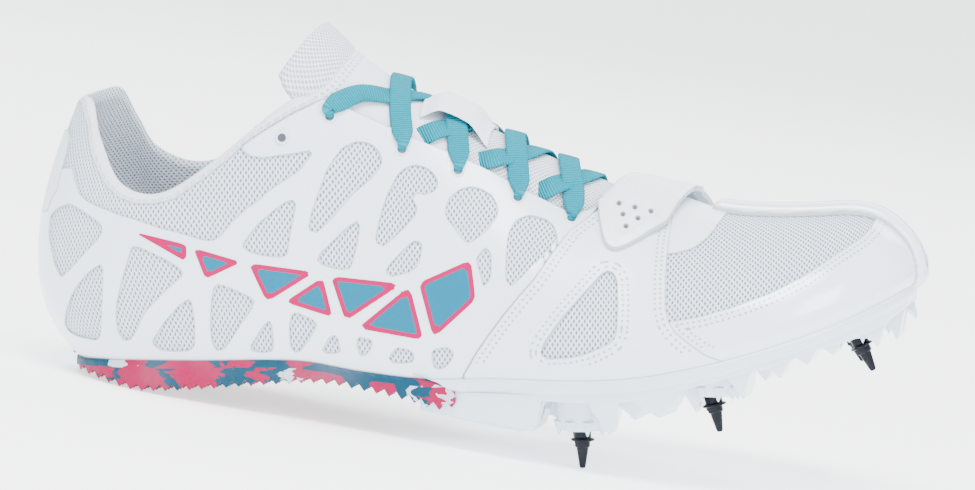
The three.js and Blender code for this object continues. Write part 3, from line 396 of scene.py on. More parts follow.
def edge_reach(tris, points):
    """Distance of each point from the open edge of its net, and place along that edge, in millimetres."""
    follow = {int(a): int(b) for a, b in open_edges(tris)}
    samples, places = [], []
    while follow:
        here, length = next(iter(follow)), 0.0
        while here in follow:
            there = follow.pop(here)
            step = float(np.linalg.norm(points[there] - points[here]))
            for k in range(3):
                samples.append(points[here] * (1 - k / 3) + points[there] * k / 3)
                places.append(length + step * k / 3)
            length += step
            here = there
    tree = kdtree.KDTree(len(samples))
    for k, point in enumerate(samples):
        tree.insert(point, k)
    tree.balance()
    found = [tree.find(point) for point in points]
    return np.array([f[2] for f in found]), np.array([places[f[1]] for f in found])


def make_object(name, points, faces):
    mesh = bpy.data.meshes.new(name)
    mesh.from_pydata([tuple(p) for p in points], [], [tuple(int(k) for k in f) for f in faces])
    mesh.update()
    mesh.polygons.foreach_set("use_smooth", [True] * len(mesh.polygons))
    made = bpy.data.objects.new(name, mesh)
    bpy.context.collection.objects.link(made)
    return made


def give_uv(made, name, pairs):
    """UV map in millimetres from one pair of lengths per vertex."""
    layer = made.data.uv_layers.new(name=name)
    loops = np.empty(len(made.data.loops), int)
    made.data.loops.foreach_get("vertex_index", loops)
    layer.data.foreach_set("uv", np.asarray(pairs, float)[loops].reshape(-1))


def give_values(made, name, values):
    layer = made.data.attributes.new(name, "FLOAT", "POINT")
    layer.data.foreach_set("value", np.asarray(values, float))


def thicken(name, tris, table, low, high, crisp=True, edge=None):
    """Closed sheet between two heights over the net; crisp sheets keep a sharp cut edge."""
    points, normals = table[:, POINT], table[:, NORMAL]
    count = len(points)
    rim = open_edges(tris)
    faces = np.concatenate([
        tris, tris[:, ::-1] + count,
        np.column_stack([rim[:, 1], rim[:, 0], rim[:, 0] + count]),
        np.column_stack([rim[:, 1], rim[:, 0] + count, rim[:, 1] + count])])
    top = points + normals * np.reshape(high, (-1, 1))
    bottom = points + normals * np.reshape(low, (-1, 1))
    corners = stand(np.concatenate([top, bottom]))
    made = make_object(name, corners, faces)
    if crisp:
        shade = stand(face_normals(top, tris))
        shade /= np.linalg.norm(shade, axis=1, keepdims=True)
        corner = corners[faces[2 * len(tris):]]
        side = np.cross(corner[:, 1] - corner[:, 0], corner[:, 2] - corner[:, 0])
        side /= np.maximum(np.linalg.norm(side, axis=1, keepdims=True), 1e-12)
        loops = np.concatenate([shade[tris].reshape(-1, 3), -shade[tris[:, ::-1]].reshape(-1, 3),
                                np.repeat(side, 3, axis=0)])
        made.data.normals_split_custom_set([tuple(n) for n in loops])
    give_uv(made, "weave", np.tile(table[:, WEAVE], (2, 1)))
    if edge is not None:
        give_uv(made, "edge", np.tile(np.column_stack(edge[::-1]), (2, 1)))
    return made


def group(name, vector, numbers, results):
    """New shader group with one vector and some numbers in and numbers out: tree, its inputs, its outputs."""
    tree = bpy.data.node_groups.new(name, "ShaderNodeTree")
    tree.interface.new_socket(vector, in_out="INPUT", socket_type="NodeSocketVector")
    for socket, value in numbers.items():
        made = tree.interface.new_socket(socket, in_out="INPUT", socket_type="NodeSocketFloat")
        made.default_value = value
    for socket in results:
        tree.interface.new_socket(socket, in_out="OUTPUT", socket_type="NodeSocketFloat")
    return tree, tree.nodes.new("NodeGroupInput").outputs, tree.nodes.new("NodeGroupOutput").inputs


def node(tree, kind, **settings):
    made = tree.nodes.new(kind)
    for key, value in settings.items():
        setattr(made, key, value)
    return made


def feed(socket, value):
    """Sets a socket to a number or colour, or links another socket to it."""
    if isinstance(value, bpy.types.NodeSocket):
        socket.id_data.links.new(value, socket)
    elif isinstance(value, tuple) and len(value) == 3 and socket.type == "RGBA":
        socket.default_value = (*value, 1.0)
    else:
        socket.default_value = value


def join(kind, values, sockets=(0, 1, 2), **settings):
    """New node with the values in its sockets, in the tree that one of the values comes from."""
    tree = next(v.id_data for v in values if isinstance(v, bpy.types.NodeSocket))
    made = node(tree, kind, **settings)
    for k, value in zip(sockets, values):
        feed(made.inputs[k], value)
    return made


def calc(operation, *values, clamp=False):
    return join("ShaderNodeMath", values, operation=operation, use_clamp=clamp).outputs[0]


def plus(*values):
    return calc("ADD", *values)


def minus(*values):
    return calc("SUBTRACT", *values)


def times(*values):
    return calc("MULTIPLY", *values)


def vector_calc(operation, *values, out=0):
    return join("ShaderNodeVectorMath", values, operation=operation).outputs[out]


def blend(*values):
    """Colour between the second and the third value, as far as the first one says."""
    return join("ShaderNodeMix", values, (0, 6, 7), data_type="RGBA").outputs[2]


def blend_value(*values):
    return join("ShaderNodeMix", values, (0, 2, 3), data_type="FLOAT").outputs[0]


def ramp(value, low, high):
    """0 below low, 1 above high, soft between; low may lie above high."""
    made = join("ShaderNodeMapRange", (value,), interpolation_type="SMOOTHSTEP")
    made.inputs["From Min"].default_value = low
    made.inputs["From Max"].default_value = high
    return made.outputs["Result"]


def fed(made, values):
    """Outputs of a node whose named sockets are fed with the values."""
    for key, value in values.items():
        feed(made.inputs[key], value)
    return made.outputs


def use_group(tree, what, **values):
    return fed(node(tree, "ShaderNodeGroup", node_tree=what), values)


def noise(tree, **values):
    return fed(node(tree, "ShaderNodeTexNoise"), values)["Fac"]


def finish(tree, shader, color, height, relief, roughness=None):
    """Links a material's colour, its relief in metres and, where it varies, its roughness."""
    tree.links.new(color, shader.inputs["Base Color"])
    if roughness is not None:
        tree.links.new(roughness, shader.inputs["Roughness"])
    made = node(tree, "ShaderNodeBump")
    made.inputs["Distance"].default_value = relief
    tree.links.new(height, made.inputs["Height"])
    tree.links.new(made.outputs["Normal"], shader.inputs["Normal"])


def value_of(tree, name):
    return node(tree, "ShaderNodeAttribute", attribute_name=name).outputs["Fac"]


def uv_of(tree, name):
    return node(tree, "ShaderNodeUVMap", uv_map=name).outputs[0]


def parts_of(vector):
    """The separate X, Y and Z of a vector."""
    return join("ShaderNodeSeparateXYZ", (vector,)).outputs


def open_mesh_group():
    """Staggered pores of a knitted mesh, round or slim: 1 in a pore, 0 on the yarn."""
    tree, entry, leave = group("open_mesh", "Vector", {"Pitch": 1.4, "Size": 0.3, "Stretch": 1.0, "Slim": 1.0},
                               ("Hole", "Depth"))
    scale = (calc("DIVIDE", 1.0, entry["Pitch"]), calc("DIVIDE", entry["Stretch"], entry["Pitch"]))
    place = vector_calc("MULTIPLY", entry["Vector"], join("ShaderNodeCombineXYZ", scale).outputs[0])
    slim = join("ShaderNodeCombineXYZ", (entry["Slim"], 1.0)).outputs[0]
    nearest = []
    for offset in ((0.0, 0.0, 0.0), (0.5, 0.5, 0.0)):
        cell = vector_calc("FRACTION", vector_calc("ADD", place, offset))
        middle = vector_calc("SUBTRACT", cell, (0.5, 0.5, 0.0))
        nearest.append(vector_calc("LENGTH", vector_calc("MULTIPLY", middle, slim), out=1))
    away = calc("MINIMUM", *nearest)
    hole = calc("SUBTRACT", 1.0, calc("DIVIDE", away, entry["Size"]), clamp=True)
    feed(leave["Depth"], hole)
    feed(leave["Hole"], ramp(hole, 0.02, 0.35))
    return tree


def grain_group():
    """Fine uneven grain and a slow stain, for every finish."""
    tree, entry, leave = group("fine_grain", "Vector", {"Scale": 900.0}, ("Height", "Stain"))
    feed(leave["Height"], noise(tree, Vector=entry["Vector"], Scale=entry["Scale"], Detail=3.0))
    feed(leave["Stain"], noise(tree, Vector=entry["Vector"], Scale=24.0, Detail=4.0))
    return tree


OPEN_MESH = open_mesh_group()
FINE_GRAIN = grain_group()


def place_of(tree):
    """Coordinates of the piece itself, in metres."""
    return node(tree, "ShaderNodeTexCoord").outputs["Object"]


def grain_of(tree, scale):
    """Height and stain of the fine grain on the piece."""
    made = use_group(tree, FINE_GRAIN, Vector=place_of(tree), Scale=scale)
    return made["Height"], made["Stain"]


def upper_material():
    """Open mesh that turns to smooth cloth inside the binding, with a row of stitches along its edge."""
    material, tree, shader = new_material("upper_mesh", (0.8, 0.83, 0.87), 0.8, sheen_weight=0.12)
    weave = uv_of(tree, "weave")
    grain, stain = grain_of(tree, 2600.0)
    coarse = use_group(tree, OPEN_MESH, Vector=weave, Pitch=1.55, Size=0.29, Stretch=0.68, Slim=1.35)
    fine = use_group(tree, OPEN_MESH, Vector=weave, Pitch=0.62, Size=0.3)
    binding = value_of(tree, "binding")
    cloth = ramp(binding, -0.1, 0.1)
    yarn = blend(stain, (0.6, 0.69, 0.79), (0.54, 0.63, 0.735))
    mesh = blend(times(coarse["Hole"], 0.9), yarn, (0.16, 0.2, 0.26))
    smooth = blend(fine["Hole"], (0.74, 0.795, 0.86), (0.6, 0.65, 0.72))
    split = parts_of(weave)
    dash = ramp(calc("PINGPONG", split[0], 1.2), 0.3, 0.5)
    row = ramp(calc("ABSOLUTE", minus(binding, 0.9)), 0.42, 0.22)
    stitch = times(dash, row)
    seam = ramp(calc("ABSOLUTE", binding), 0.35, 0.05)
    color = blend(cloth, mesh, smooth)
    color = blend(times(seam, 0.55), color, (0.42, 0.46, 0.52))
    color = blend(times(stitch, 0.5), color, (0.45, 0.5, 0.56))
    height = blend_value(cloth, times(coarse["Depth"], -1.0), times(fine["Depth"], -0.2))
    height = plus(height, times(grain, 0.25))
    height = minus(minus(height, times(seam, 0.8)), times(stitch, 0.5))
    finish(tree, shader, color, height, 0.0005)
    return material


def lining_material():
    """Grey lining with a lattice of dark pores, plainer low down in the shoe."""
    material, tree, shader = new_material("lining_mesh", (0.55, 0.59, 0.64), 0.85)
    weave = uv_of(tree, "weave")
    grain, stain = grain_of(tree, 2600.0)
    pores = use_group(tree, OPEN_MESH, Vector=weave, Pitch=1.7, Size=0.26)
    high = value_of(tree, "lining")
    yarn = blend(stain, (0.56, 0.62, 0.69), (0.48, 0.545, 0.615))
    color = blend(times(pores["Hole"], high), yarn, (0.32, 0.36, 0.41))
    color = blend(high, blend(stain, (0.42, 0.45, 0.49), (0.34, 0.37, 0.41)), color)
    finish(tree, shader, color, minus(times(grain, 0.3), pores["Depth"]), 0.0004)
    return material


AROUND, UPWARD = 480, 84
skin_tris, skin = lasted_net(-1 + 2 * np.arange(AROUND) / AROUND, np.linspace(0, 1, UPWARD + 1))


def make_upper():
    share, rise = skin[:, SHARE], skin[:, RISE]
    padding = smoothstep(rise, 0.6, 0.9) * (1 - smoothstep(share, 0.3, 0.38))
    wall = WALL + (COLLAR_WALL - WALL) * padding
    lip = smoothstep(rise, 0.955, 1.0) * (share < THROAT_END)
    upper = thicken("upper_wall", skin_tris, skin, -wall + lip**2 * wall * 0.42, -lip**2 * wall * 0.42, crisp=False)
    upper.data.materials.append(upper_material())
    upper.data.materials.append(lining_material())
    slots = np.zeros(len(upper.data.polygons), int)
    slots[len(skin_tris):2 * len(skin_tris)] = 1
    upper.data.polygons.foreach_set("material_index", slots)
    binding = depth_in(BINDING, skin[:, PLACE]) / SCALE
    binding = np.where(share > 0.46, -9.0, binding)
    give_values(upper, "binding", np.tile(binding, 2))
    give_values(upper, "lining", np.tile(smoothstep(rise, 0.62, 0.64), 2))
    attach(upper, "root")
    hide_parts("upper")


make_upper()

# Film cage: one thin glossy white film welded over the mesh round the heel and along both
# sides up to the eyelets, cut out in two rows of rounded windows, and printed between the
# rows with loose light blue triangles that have a pink edge.
FILM_LOW, FILM_HIGH = 0.02, 0.55
# share of the way to the toe where the cage ends, and depths well inside and well outside an outline
CAGE_END, FAR, OUTSIDE = 0.68, 50.0, -5.0
WHITE_FILM = (0.72, 0.8, 0.89)
CAGE = [
    (0, 172), (74, 168), (76, 180), (80, 193), (86, 200), (100, 207), (120, 215), (140, 221), (160, 228),
    (180, 233), (200, 239), (212, 241), (220, 237), (232, 222), (245, 210), (260, 199), (270, 190), (285, 180),
    (300, 170), (315, 150), (300, 153), (280, 156), (262, 158), (250, 156), (243, 151), (241, 148), (250, 141),
    (265, 131), (283, 120), (295, 113), (310, 106), (322, 99), (340, 40), (700, 60), (640, 180), (600, 206),
    (590, 218), (577, 227), (569, 233), (549, 258), (534, 280), (519, 297), (504, 315), (489, 335), (477, 352),
    (464, 374), (455, 420), (0, 420)]
LOW_WINDOWS = [
    [(52, 215), (60, 208), (70, 204), (77, 207), (90, 216), (102, 225), (103, 232), (95, 243), (85, 253),
     (75, 265), (62, 278), (55, 262), (50, 236)],
    [(104, 263), (92, 270), (80, 283), (72, 297), (67, 313), (66, 323), (70, 331), (80, 336), (101, 340),
     (103, 300)],
    [(133, 247), (128, 262), (123, 280), (118, 300), (117, 318), (119, 332), (125, 340), (131, 339), (137, 330),
     (145, 312), (160, 296), (175, 282), (183, 275), (182, 270), (170, 262), (150, 252), (138, 247)],
    [(188, 299), (192, 301), (195, 322), (195, 345), (190, 350), (175, 351), (160, 349), (153, 343), (155, 337),
     (165, 322), (178, 307)]]
ARCH_WINDOWS = [
    [(215, 285), (220, 284), (235, 290), (250, 297), (255, 301), (250, 312), (240, 325), (232, 338), (225, 348),
     (218, 351), (213, 343), (211, 325), (212, 300)],
    [(268, 320), (272, 323), (274, 345), (272, 351), (262, 352), (252, 350), (251, 346), (258, 335)],
    [(293, 313), (298, 313), (310, 318), (317, 322), (315, 330), (307, 342), (300, 351), (295, 352), (291, 345),
     (290, 325)],
    [(333, 334), (338, 337), (341, 350), (338, 353), (326, 353), (323, 351), (328, 340)],
    [(358, 336), (365, 338), (374, 341), (370, 350), (365, 356), (361, 355), (358, 348)],
    [(397, 347), (410, 350), (414, 352), (414, 362), (400, 363), (391, 361), (389, 358)],
    [(433, 350), (445, 347), (452, 349), (454, 355), (450, 362), (444, 368), (436, 369), (433, 362)]]
HIGH_WINDOWS = [
    [(293, 200), (296, 205), (290, 235), (287, 255), (283, 257), (265, 256), (248, 251), (243, 246), (246, 240),
     (258, 225), (275, 210), (288, 201)],
    [(356, 142), (368, 143), (377, 149), (382, 160), (380, 168), (370, 180), (355, 192), (345, 203), (330, 220),
     (320, 230), (313, 234), (309, 229), (312, 212), (320, 190), (327, 170), (335, 158), (343, 148)],
    [(357, 221), (360, 226), (357, 245), (352, 265), (348, 270), (333, 268), (320, 264), (317, 260), (322, 252),
     (335, 240), (345, 230)],
    [(415, 165), (428, 169), (436, 177), (438, 185), (434, 192), (425, 195), (415, 193), (412, 200), (417, 208),
     (416, 214), (408, 224), (395, 237), (385, 245), (380, 247), (376, 241), (378, 228), (384, 205), (390, 190),
     (398, 175), (405, 169)],
    [(418, 240), (422, 244), (421, 255), (418, 266), (410, 272), (398, 275), (390, 277), (386, 272), (390, 265),
     (402, 252), (412, 243)],
    [(470, 187), (480, 189), (492, 196), (498, 208), (497, 217), (488, 230), (475, 240), (468, 244), (463, 240),
     (455, 228), (446, 218), (446, 208), (450, 198), (460, 190)],
    [(488, 247), (491, 252), (491, 275), (488, 286), (484, 287), (482, 278), (478, 265), (477, 258), (482, 252)],
    [(530, 216), (545, 220), (553, 226), (557, 237), (553, 244), (545, 255), (530, 268), (520, 279), (512, 286),
     (508, 286), (506, 278), (507, 250), (508, 235), (515, 222), (522, 218)]]
PRINT = [
    [(134, 232), (187, 245), (187, 262)], [(194, 248), (242, 262), (206, 279)], [(249, 263), (315, 272), (267, 302)],
    [(323, 277), (285, 302), (333, 317)], [(331, 276), (402, 284), (346, 321)], [(410, 286), (358, 328), (424, 340)],
    [(419, 283), (471, 260), (476, 300), (434, 338)]]
PRINT_EDGE = 1.3


def stitch_group():
    """Rows of pinholes along an edge: Hole is 1 in a pinhole. Edge is (place along it, distance from it)."""
    tree, entry, leave = group("stitch_rows", "Edge", {"First": 2.0, "Second": 3.6, "Pitch": 1.6, "Size": 0.33},
                               ("Hole",))
    split = parts_of(entry["Edge"])
    half = times(entry["Pitch"], 0.5)
    along = minus(half, calc("PINGPONG", split[0], half))
    rows = []
    for name in ("First", "Second"):
        off = minus(split[1], entry[name])
        rows.append(calc("SQRT", plus(calc("POWER", off, 2.0), calc("POWER", along, 2.0))))
    feed(leave["Hole"], ramp(calc("DIVIDE", calc("MINIMUM", *rows), entry["Size"]), 1.1, 0.7))
    return tree


STITCH_ROWS = stitch_group()


def film_material(name, color, roughness, coat, stitches=None):
    """Smooth film with a fine leathery grain, thin stains, painted shade darkening it along its soft cut edge and,
    where asked, rows of stitches.
    """
    material, tree, shader = new_material(name, color, roughness, coat_weight=coat, coat_roughness=0.12)
    grain, stain = grain_of(tree, 1500.0)
    edge = uv_of(tree, "edge")
    # painted shade: the film darkens towards 0.42 of its colour within about 0.4 mm of its cut edge
    painted_edge_shade = ramp(parts_of(edge)[1], 0.42, 0.12)
    base = blend(stain, color, tuple(c * 0.955 for c in color))
    base = blend(times(painted_edge_shade, 0.7), base, tuple(c * 0.42 for c in color))
    height = times(grain, 0.16)
    if stitches:
        rows = use_group(tree, STITCH_ROWS, Edge=edge, First=stitches[0], Second=stitches[1])
        hole = times(rows["Hole"], value_of(tree, "sewn"))
        base = blend(times(hole, 0.7), base, (0.27, 0.31, 0.37))
        height = minus(height, times(hole, 1.4))
    finish(tree, shader, base, height, 0.0003, blend_value(stain, roughness * 0.85, roughness * 1.2))
    return material


def lay_film(name, replaced, keep, low, high, material):
    """Sheet cut from the net of the upper where keep is positive, in drawing units."""
    tris, table = trim(skin_tris, skin, keep)
    reach = edge_reach(tris, table[:, POINT])
    sheet = thicken(name, tris, table, low, high, edge=reach)
    sheet.data.materials.append(material)
    # no stitches in the lowest strip, where the sole grips the sheet
    give_values(sheet, "sewn", np.tile(smoothstep(table[:, WEAVE][:, 1], 4.2, 5.0), 2))
    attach(sheet, "root")
    if replaced:
        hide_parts(replaced)
    return sheet, table


def ink_material():
    """Two flat inks, the edge of each mark in pink and its middle in blue, slightly mottled."""
    material, tree, shader = new_material("print_ink", (0.0, 0.15, 0.28), 0.5, specular_ior_level=0.08)
    grain, stain = grain_of(tree, 1500.0)
    blue = blend(stain, (0.0, 0.135, 0.225), (0.0, 0.115, 0.195))
    pink = blend(stain, (0.37, 0.0, 0.075), (0.32, 0.0, 0.065))
    color = blend(ramp(value_of(tree, "mark"), PRINT_EDGE - 0.08, PRINT_EDGE + 0.08), pink, blue)
    finish(tree, shader, color, grain, 0.00006)
    return material


def make_cage():
    place, side = skin[:, PLACE], skin[:, SIDE]
    keep = np.minimum(depth_in(CAGE, place), (CAGE_END - skin[:, SHARE]) * 400)
    for window in LOW_WINDOWS + HIGH_WINDOWS:
        keep = np.minimum(keep, -depth_in(rounded(window), place))
    for window in ARCH_WINDOWS:
        keep = np.minimum(keep, np.where(side < 0, -depth_in(rounded(window), place), FAR))
    lay_film("film_cage_skin", "film_cage", keep, FILM_LOW, FILM_HIGH,
             film_material("cage_film", WHITE_FILM, 0.3, 0.35))
    marks = [rounded(shape, 0.08) for shape in PRINT]
    print_film, table = lay_film("print_ink", None, np.max([depth_in(m, place) for m in marks], axis=0),
                                 FILM_HIGH + 0.03, FILM_HIGH + 0.12, ink_material())
    mark = np.max([depth_in(m, table[:, PLACE]) for m in marks], axis=0) / SCALE
    give_values(print_film, "mark", np.tile(mark, 2))


make_cage()

# Saddle: a softer white overlay on each side under the strap, laid over the end of the cage,
# held by two rows of stitches round its edge and round its one long mesh window.
SADDLE = [
    (570, 232), (550, 258), (535, 280), (520, 297), (505, 315), (490, 335), (478, 352), (465, 374), (458, 410),
    (740, 410), (722, 361), (705, 355), (690, 345), (676, 334), (669, 323), (666, 310), (666, 280), (668, 250),
    (672, 222), (676, 190), (660, 150), (640, 150), (606, 186), (601, 206), (590, 219), (578, 227)]
SADDLE_WINDOW = [
    (608, 272), (613, 274), (617, 282), (618, 306), (617, 330), (614, 342), (590, 353), (575, 357), (548, 359),
    (541, 354), (545, 343), (560, 322), (580, 299), (597, 280), (603, 274)]
# how far up the sides the overlays reach, as a share, and the height of their underside
OVERLAY_RISE, OVERLAY_LOW = 0.93, 0.03
saddle_film = film_material("saddle_film", WHITE_FILM, 0.4, 0.15, stitches=(1.5, 3.1))


def lay_pair(name, keep, high, material):
    """The same overlay on each side of the shoe."""
    keep = np.minimum(keep, (OVERLAY_RISE - skin[:, RISE]) * 200)
    for piece, side in ((name + "_lateral", -1), (name + "_medial", 1)):
        lay_film(piece + "_film", piece, np.where(skin[:, SIDE] == side, keep, OUTSIDE), OVERLAY_LOW, high,
                 material)


def make_saddles():
    place = skin[:, PLACE]
    keep = np.minimum(depth_in(SADDLE, place), -depth_in(rounded(SADDLE_WINDOW), place))
    lay_pair("saddle", keep, 0.9, saddle_film)


make_saddles()

# Toe guard: a glossy overlay from the saddle round to the toe on each side of the rail,
# with two rows of stitches along its upper edge.
TOE_GUARD = [
    (668, 323), (700, 318), (735, 308), (770, 295), (800, 280), (830, 260), (860, 240), (870, 230), (877, 218),
    (880, 190), (980, 190), (980, 420), (730, 420), (722, 361), (705, 355), (690, 345), (676, 334)]
toe_patent = film_material("toe_patent", WHITE_FILM, 0.16, 0.9, stitches=(1.3, 2.8))


def make_toe_guard():
    # the two sides end just short of the tip of the toe, under the rail
    keep = np.minimum(depth_in(TOE_GUARD, skin[:, PLACE]), (0.985 - skin[:, SHARE]) * 600)
    lay_pair("toe_overlay", keep, 0.85, toe_patent)


make_toe_guard()

# Toe rail: a rolled glossy ridge that runs from under the strap along the crest, over the toe
# and down to the plate.
RAIL_BACK, RAIL_HALF = 168.0, 4.3
rail_patent = film_material("rail_patent", (0.72, 0.785, 0.86), 0.2, 0.8)


def make_rail():
    x, y = skin[:, 0], skin[:, 1]
    crest = np.interp(x, LENGTH * TOP_OUTER[14:, 1], LENGTH * TOP_OUTER[14:, 2])
    half = RAIL_HALF - 0.9 * (1 - smoothstep(x, RAIL_BACK, RAIL_BACK + 22.0)) + 0.6 * smoothstep(x, 212.0, 222.0)
    tris, table = trim(skin_tris, skin, (half - np.abs(y - crest)) * 3)
    tris, table = trim(tris, table, (table[:, 0] - RAIL_BACK) * 3)
    away, along = edge_reach(tris, table[:, POINT])
    roll = np.sqrt(np.clip(1 - (1 - np.clip(away / 3.9, 0, 1)) ** 2, 0, 1))
    rail = thicken("toe_rail_roll", tris, table, 0.02, 0.5 + 3.2 * roll, crisp=False, edge=(away, along))
    rail.data.materials.append(rail_patent)
    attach(rail, "root")
    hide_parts("toe_rail")


make_rail()

# Vamp patch and heel strip: small smooth films, one on each side of the crest in front of the
# strap, and one up the back of the heel over the end of the mesh.
VAMP_PATCH = [(660, 256), (676, 254), (690, 250), (700, 244), (709, 236), (717, 226), (728, 212), (736, 190),
              (640, 190), (655, 240)]
HEEL_STRIP = [(71, 140), (69, 150), (67, 158), (62, 175), (59, 190), (54, 198), (49, 212), (20, 212), (20, 130),
              (70, 130)]


def make_patches():
    place = skin[:, PLACE]
    lay_film("vamp_patch_film", None, np.minimum(depth_in(VAMP_PATCH, place), (skin[:, RISE] - 0.2) * 50),
             OVERLAY_LOW, 0.5, film_material("patch_film", (0.73, 0.795, 0.87), 0.35, 0.2))
    lay_film("heel_strip_film", None, depth_in(HEEL_STRIP, place), OVERLAY_LOW, 0.7,
             film_material("heel_strip_film", (0.7, 0.765, 0.84), 0.42, 0.1))


make_patches()

# Strap: a padded white band with a hook-and-loop end, sewn down on the inner side, that
# crosses the end of the throat and closes over the saddle on the outer side.
STRAP_OUTER = [
    (598, 206), (598, 199), (602, 189), (609, 177), (620, 166), (622, 110), (716, 110), (708, 176), (704, 181),
    (690, 188), (678, 201), (668, 218), (664, 221), (650, 229), (640, 236), (625, 244), (615, 247), (607, 243),
    (603, 235), (600, 220)]
STRAP_INNER = [
    (0.5417, -0.2), (0.6345, -0.2), (0.6225, 0.1325), (0.6345, 0.289), (0.68, 0.723), (0.5833, 0.723),
    (0.5682, 0.301)]
STRAP_THICK = 2.0
PERFORATION = 2.4             # radius of a hole in the side drawing
PERFORATIONS = [(619, 202), (635, 206), (651, 210), (623, 213), (638, 217), (626, 225)]


def make_strap():
    shares = np.linspace(0.71, 0.57, 120)
    sweep = np.linspace(0.3, 1.9, 260)          # up the outer side to 1, then down the inner side
    share, along = (grid.reshape(-1) for grid in np.meshgrid(shares, sweep, indexing="ij"))
    outer = along <= 1
    rise = np.where(outer, along, 2 - along)
    points = last_surface(np.where(outer, -share, share), rise)
    tris = grid_tris(np.arange(share.size).reshape(len(shares), len(sweep)))
    normals = face_normals(points, tris)
    low = 1.0 + 2.8 * smoothstep(points[:, 0], 0.561 * LENGTH, 0.636 * LENGTH) * (
        1 - smoothstep(along, 1.12, 1.45))
    raised = points + normals * (low + STRAP_THICK)[:, None]
    place = drawn(raised)
    steps = np.linalg.norm(np.diff(points.reshape(len(shares), len(sweep), 3), axis=1), axis=2)
    lengths = np.concatenate([np.zeros((len(shares), 1)), np.cumsum(steps, axis=1)], 1)
    table = np.column_stack([points, normals, share, rise, points[:, 0], lengths.reshape(-1), place,
                             np.where(outer, -1, 1)])
    plan = raised[:, :2] / np.array([LENGTH, FOREFOOT])
    keep = np.where(outer, depth_in(rounded(STRAP_OUTER, 0.2), place), depth_in(STRAP_INNER, plan) * LENGTH * SCALE)
    holes = np.min([np.linalg.norm(place - hole, axis=1) for hole in PERFORATIONS], axis=0)
    keep = np.minimum(keep, np.where(outer, holes - PERFORATION, FAR))
    tris, table = trim(tris, np.column_stack([table, low, holes]), keep)
    away, run = edge_reach(tris, table[:, POINT])
    low, holes = table[:, 13], table[:, 14]
    # padded in the middle, with a pressed line along its edge that stays clear of the holes
    crown = 0.45 * smoothstep(away, 0, 3.2) - 0.35 * np.exp(-((away - 2.6) / 0.5) ** 2) * (holes > 16)
    strap = thicken("strap_band", tris, table, low, low + STRAP_THICK - 0.4 + crown, edge=(away, run))
    strap.data.materials.append(film_material("strap_film", (0.75, 0.81, 0.88), 0.4, 0.15))
    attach(strap, "root")
    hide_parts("strap")


make_strap()

# Tongue: padded mesh, curved over the instep, plainer and smoother below the seam that
# crosses it under its tip. Sections run from the toe end to the tip, shares of the length:
# x, z, half width, drop of the sides, lean of the sides; then the thickness in millimetres.
TONGUE = np.array([
    (0.5606, 0.2129, 0.0341, 0.0189, 0, 2.2), (0.5265, 0.228, 0.0436, 0.0492, 0, 2.4),
    (0.4583, 0.2568, 0.0636, 0.0818, 0, 2.8), (0.3864, 0.2898, 0.0712, 0.0727, 0, 3.2),
    (0.3144, 0.3231, 0.0769, 0.078, 0, 3.6), (0.2803, 0.3424, 0.0807, 0.0848, 0.0019, 3.8),
    (0.25, 0.3636, 0.0856, 0.0932, 0.0095, 4), (0.2254, 0.3845, 0.0894, 0.0871, 0.0255, 4),
    (0.2083, 0.3996, 0.0856, 0.072, 0.0375, 3.6), (0.2008, 0.4053, 0.0795, 0.0606, 0.0385, 2.2)])
TONGUE_SEAM = [(362, 40), (345, 62), (335, 74), (328, 83), (316, 91), (300, 98), (270, 112), (200, 112), (200, 0),
               (362, 0)]


def tongue_point(along, angle, depth):
    """Point of the tongue: along from 0 at the toe end to 1 at the tip, depth from 0 outside to 1 inside."""
    rows = np.column_stack([np.linspace(0, 1, len(TONGUE)), TONGUE])
    x, z, half, drop, lean = (LENGTH * column(rows, k, along) for k in (1, 2, 3, 4, 5))
    thick = column(rows, 6, along)
    fall = 1 - np.cos(angle)
    return np.stack([x - lean * fall, (half - depth * thick) * np.sin(angle),
                     z - depth * thick - (drop - depth * thick) * fall], -1)


def tidy_normals(made):
    """Turns every face outwards."""
    bm = bmesh.new()
    bm.from_mesh(made.data)
    bmesh.ops.recalc_face_normals(bm, faces=bm.faces)
    bm.to_mesh(made.data)
    bm.free()


def tube_faces(rings, around, base=0):
    """Faces of a closed tube through rings of points, its two ends shut."""
    faces = []
    for j in range(rings - 1):
        for k in range(around):
            here, beside = base + j * around + k, base + j * around + (k + 1) % around
            faces.append((here, beside, beside + around, here + around))
    last = base + (rings - 1) * around
    return faces + [tuple(range(base, base + around)), tuple(range(last, last + around))]


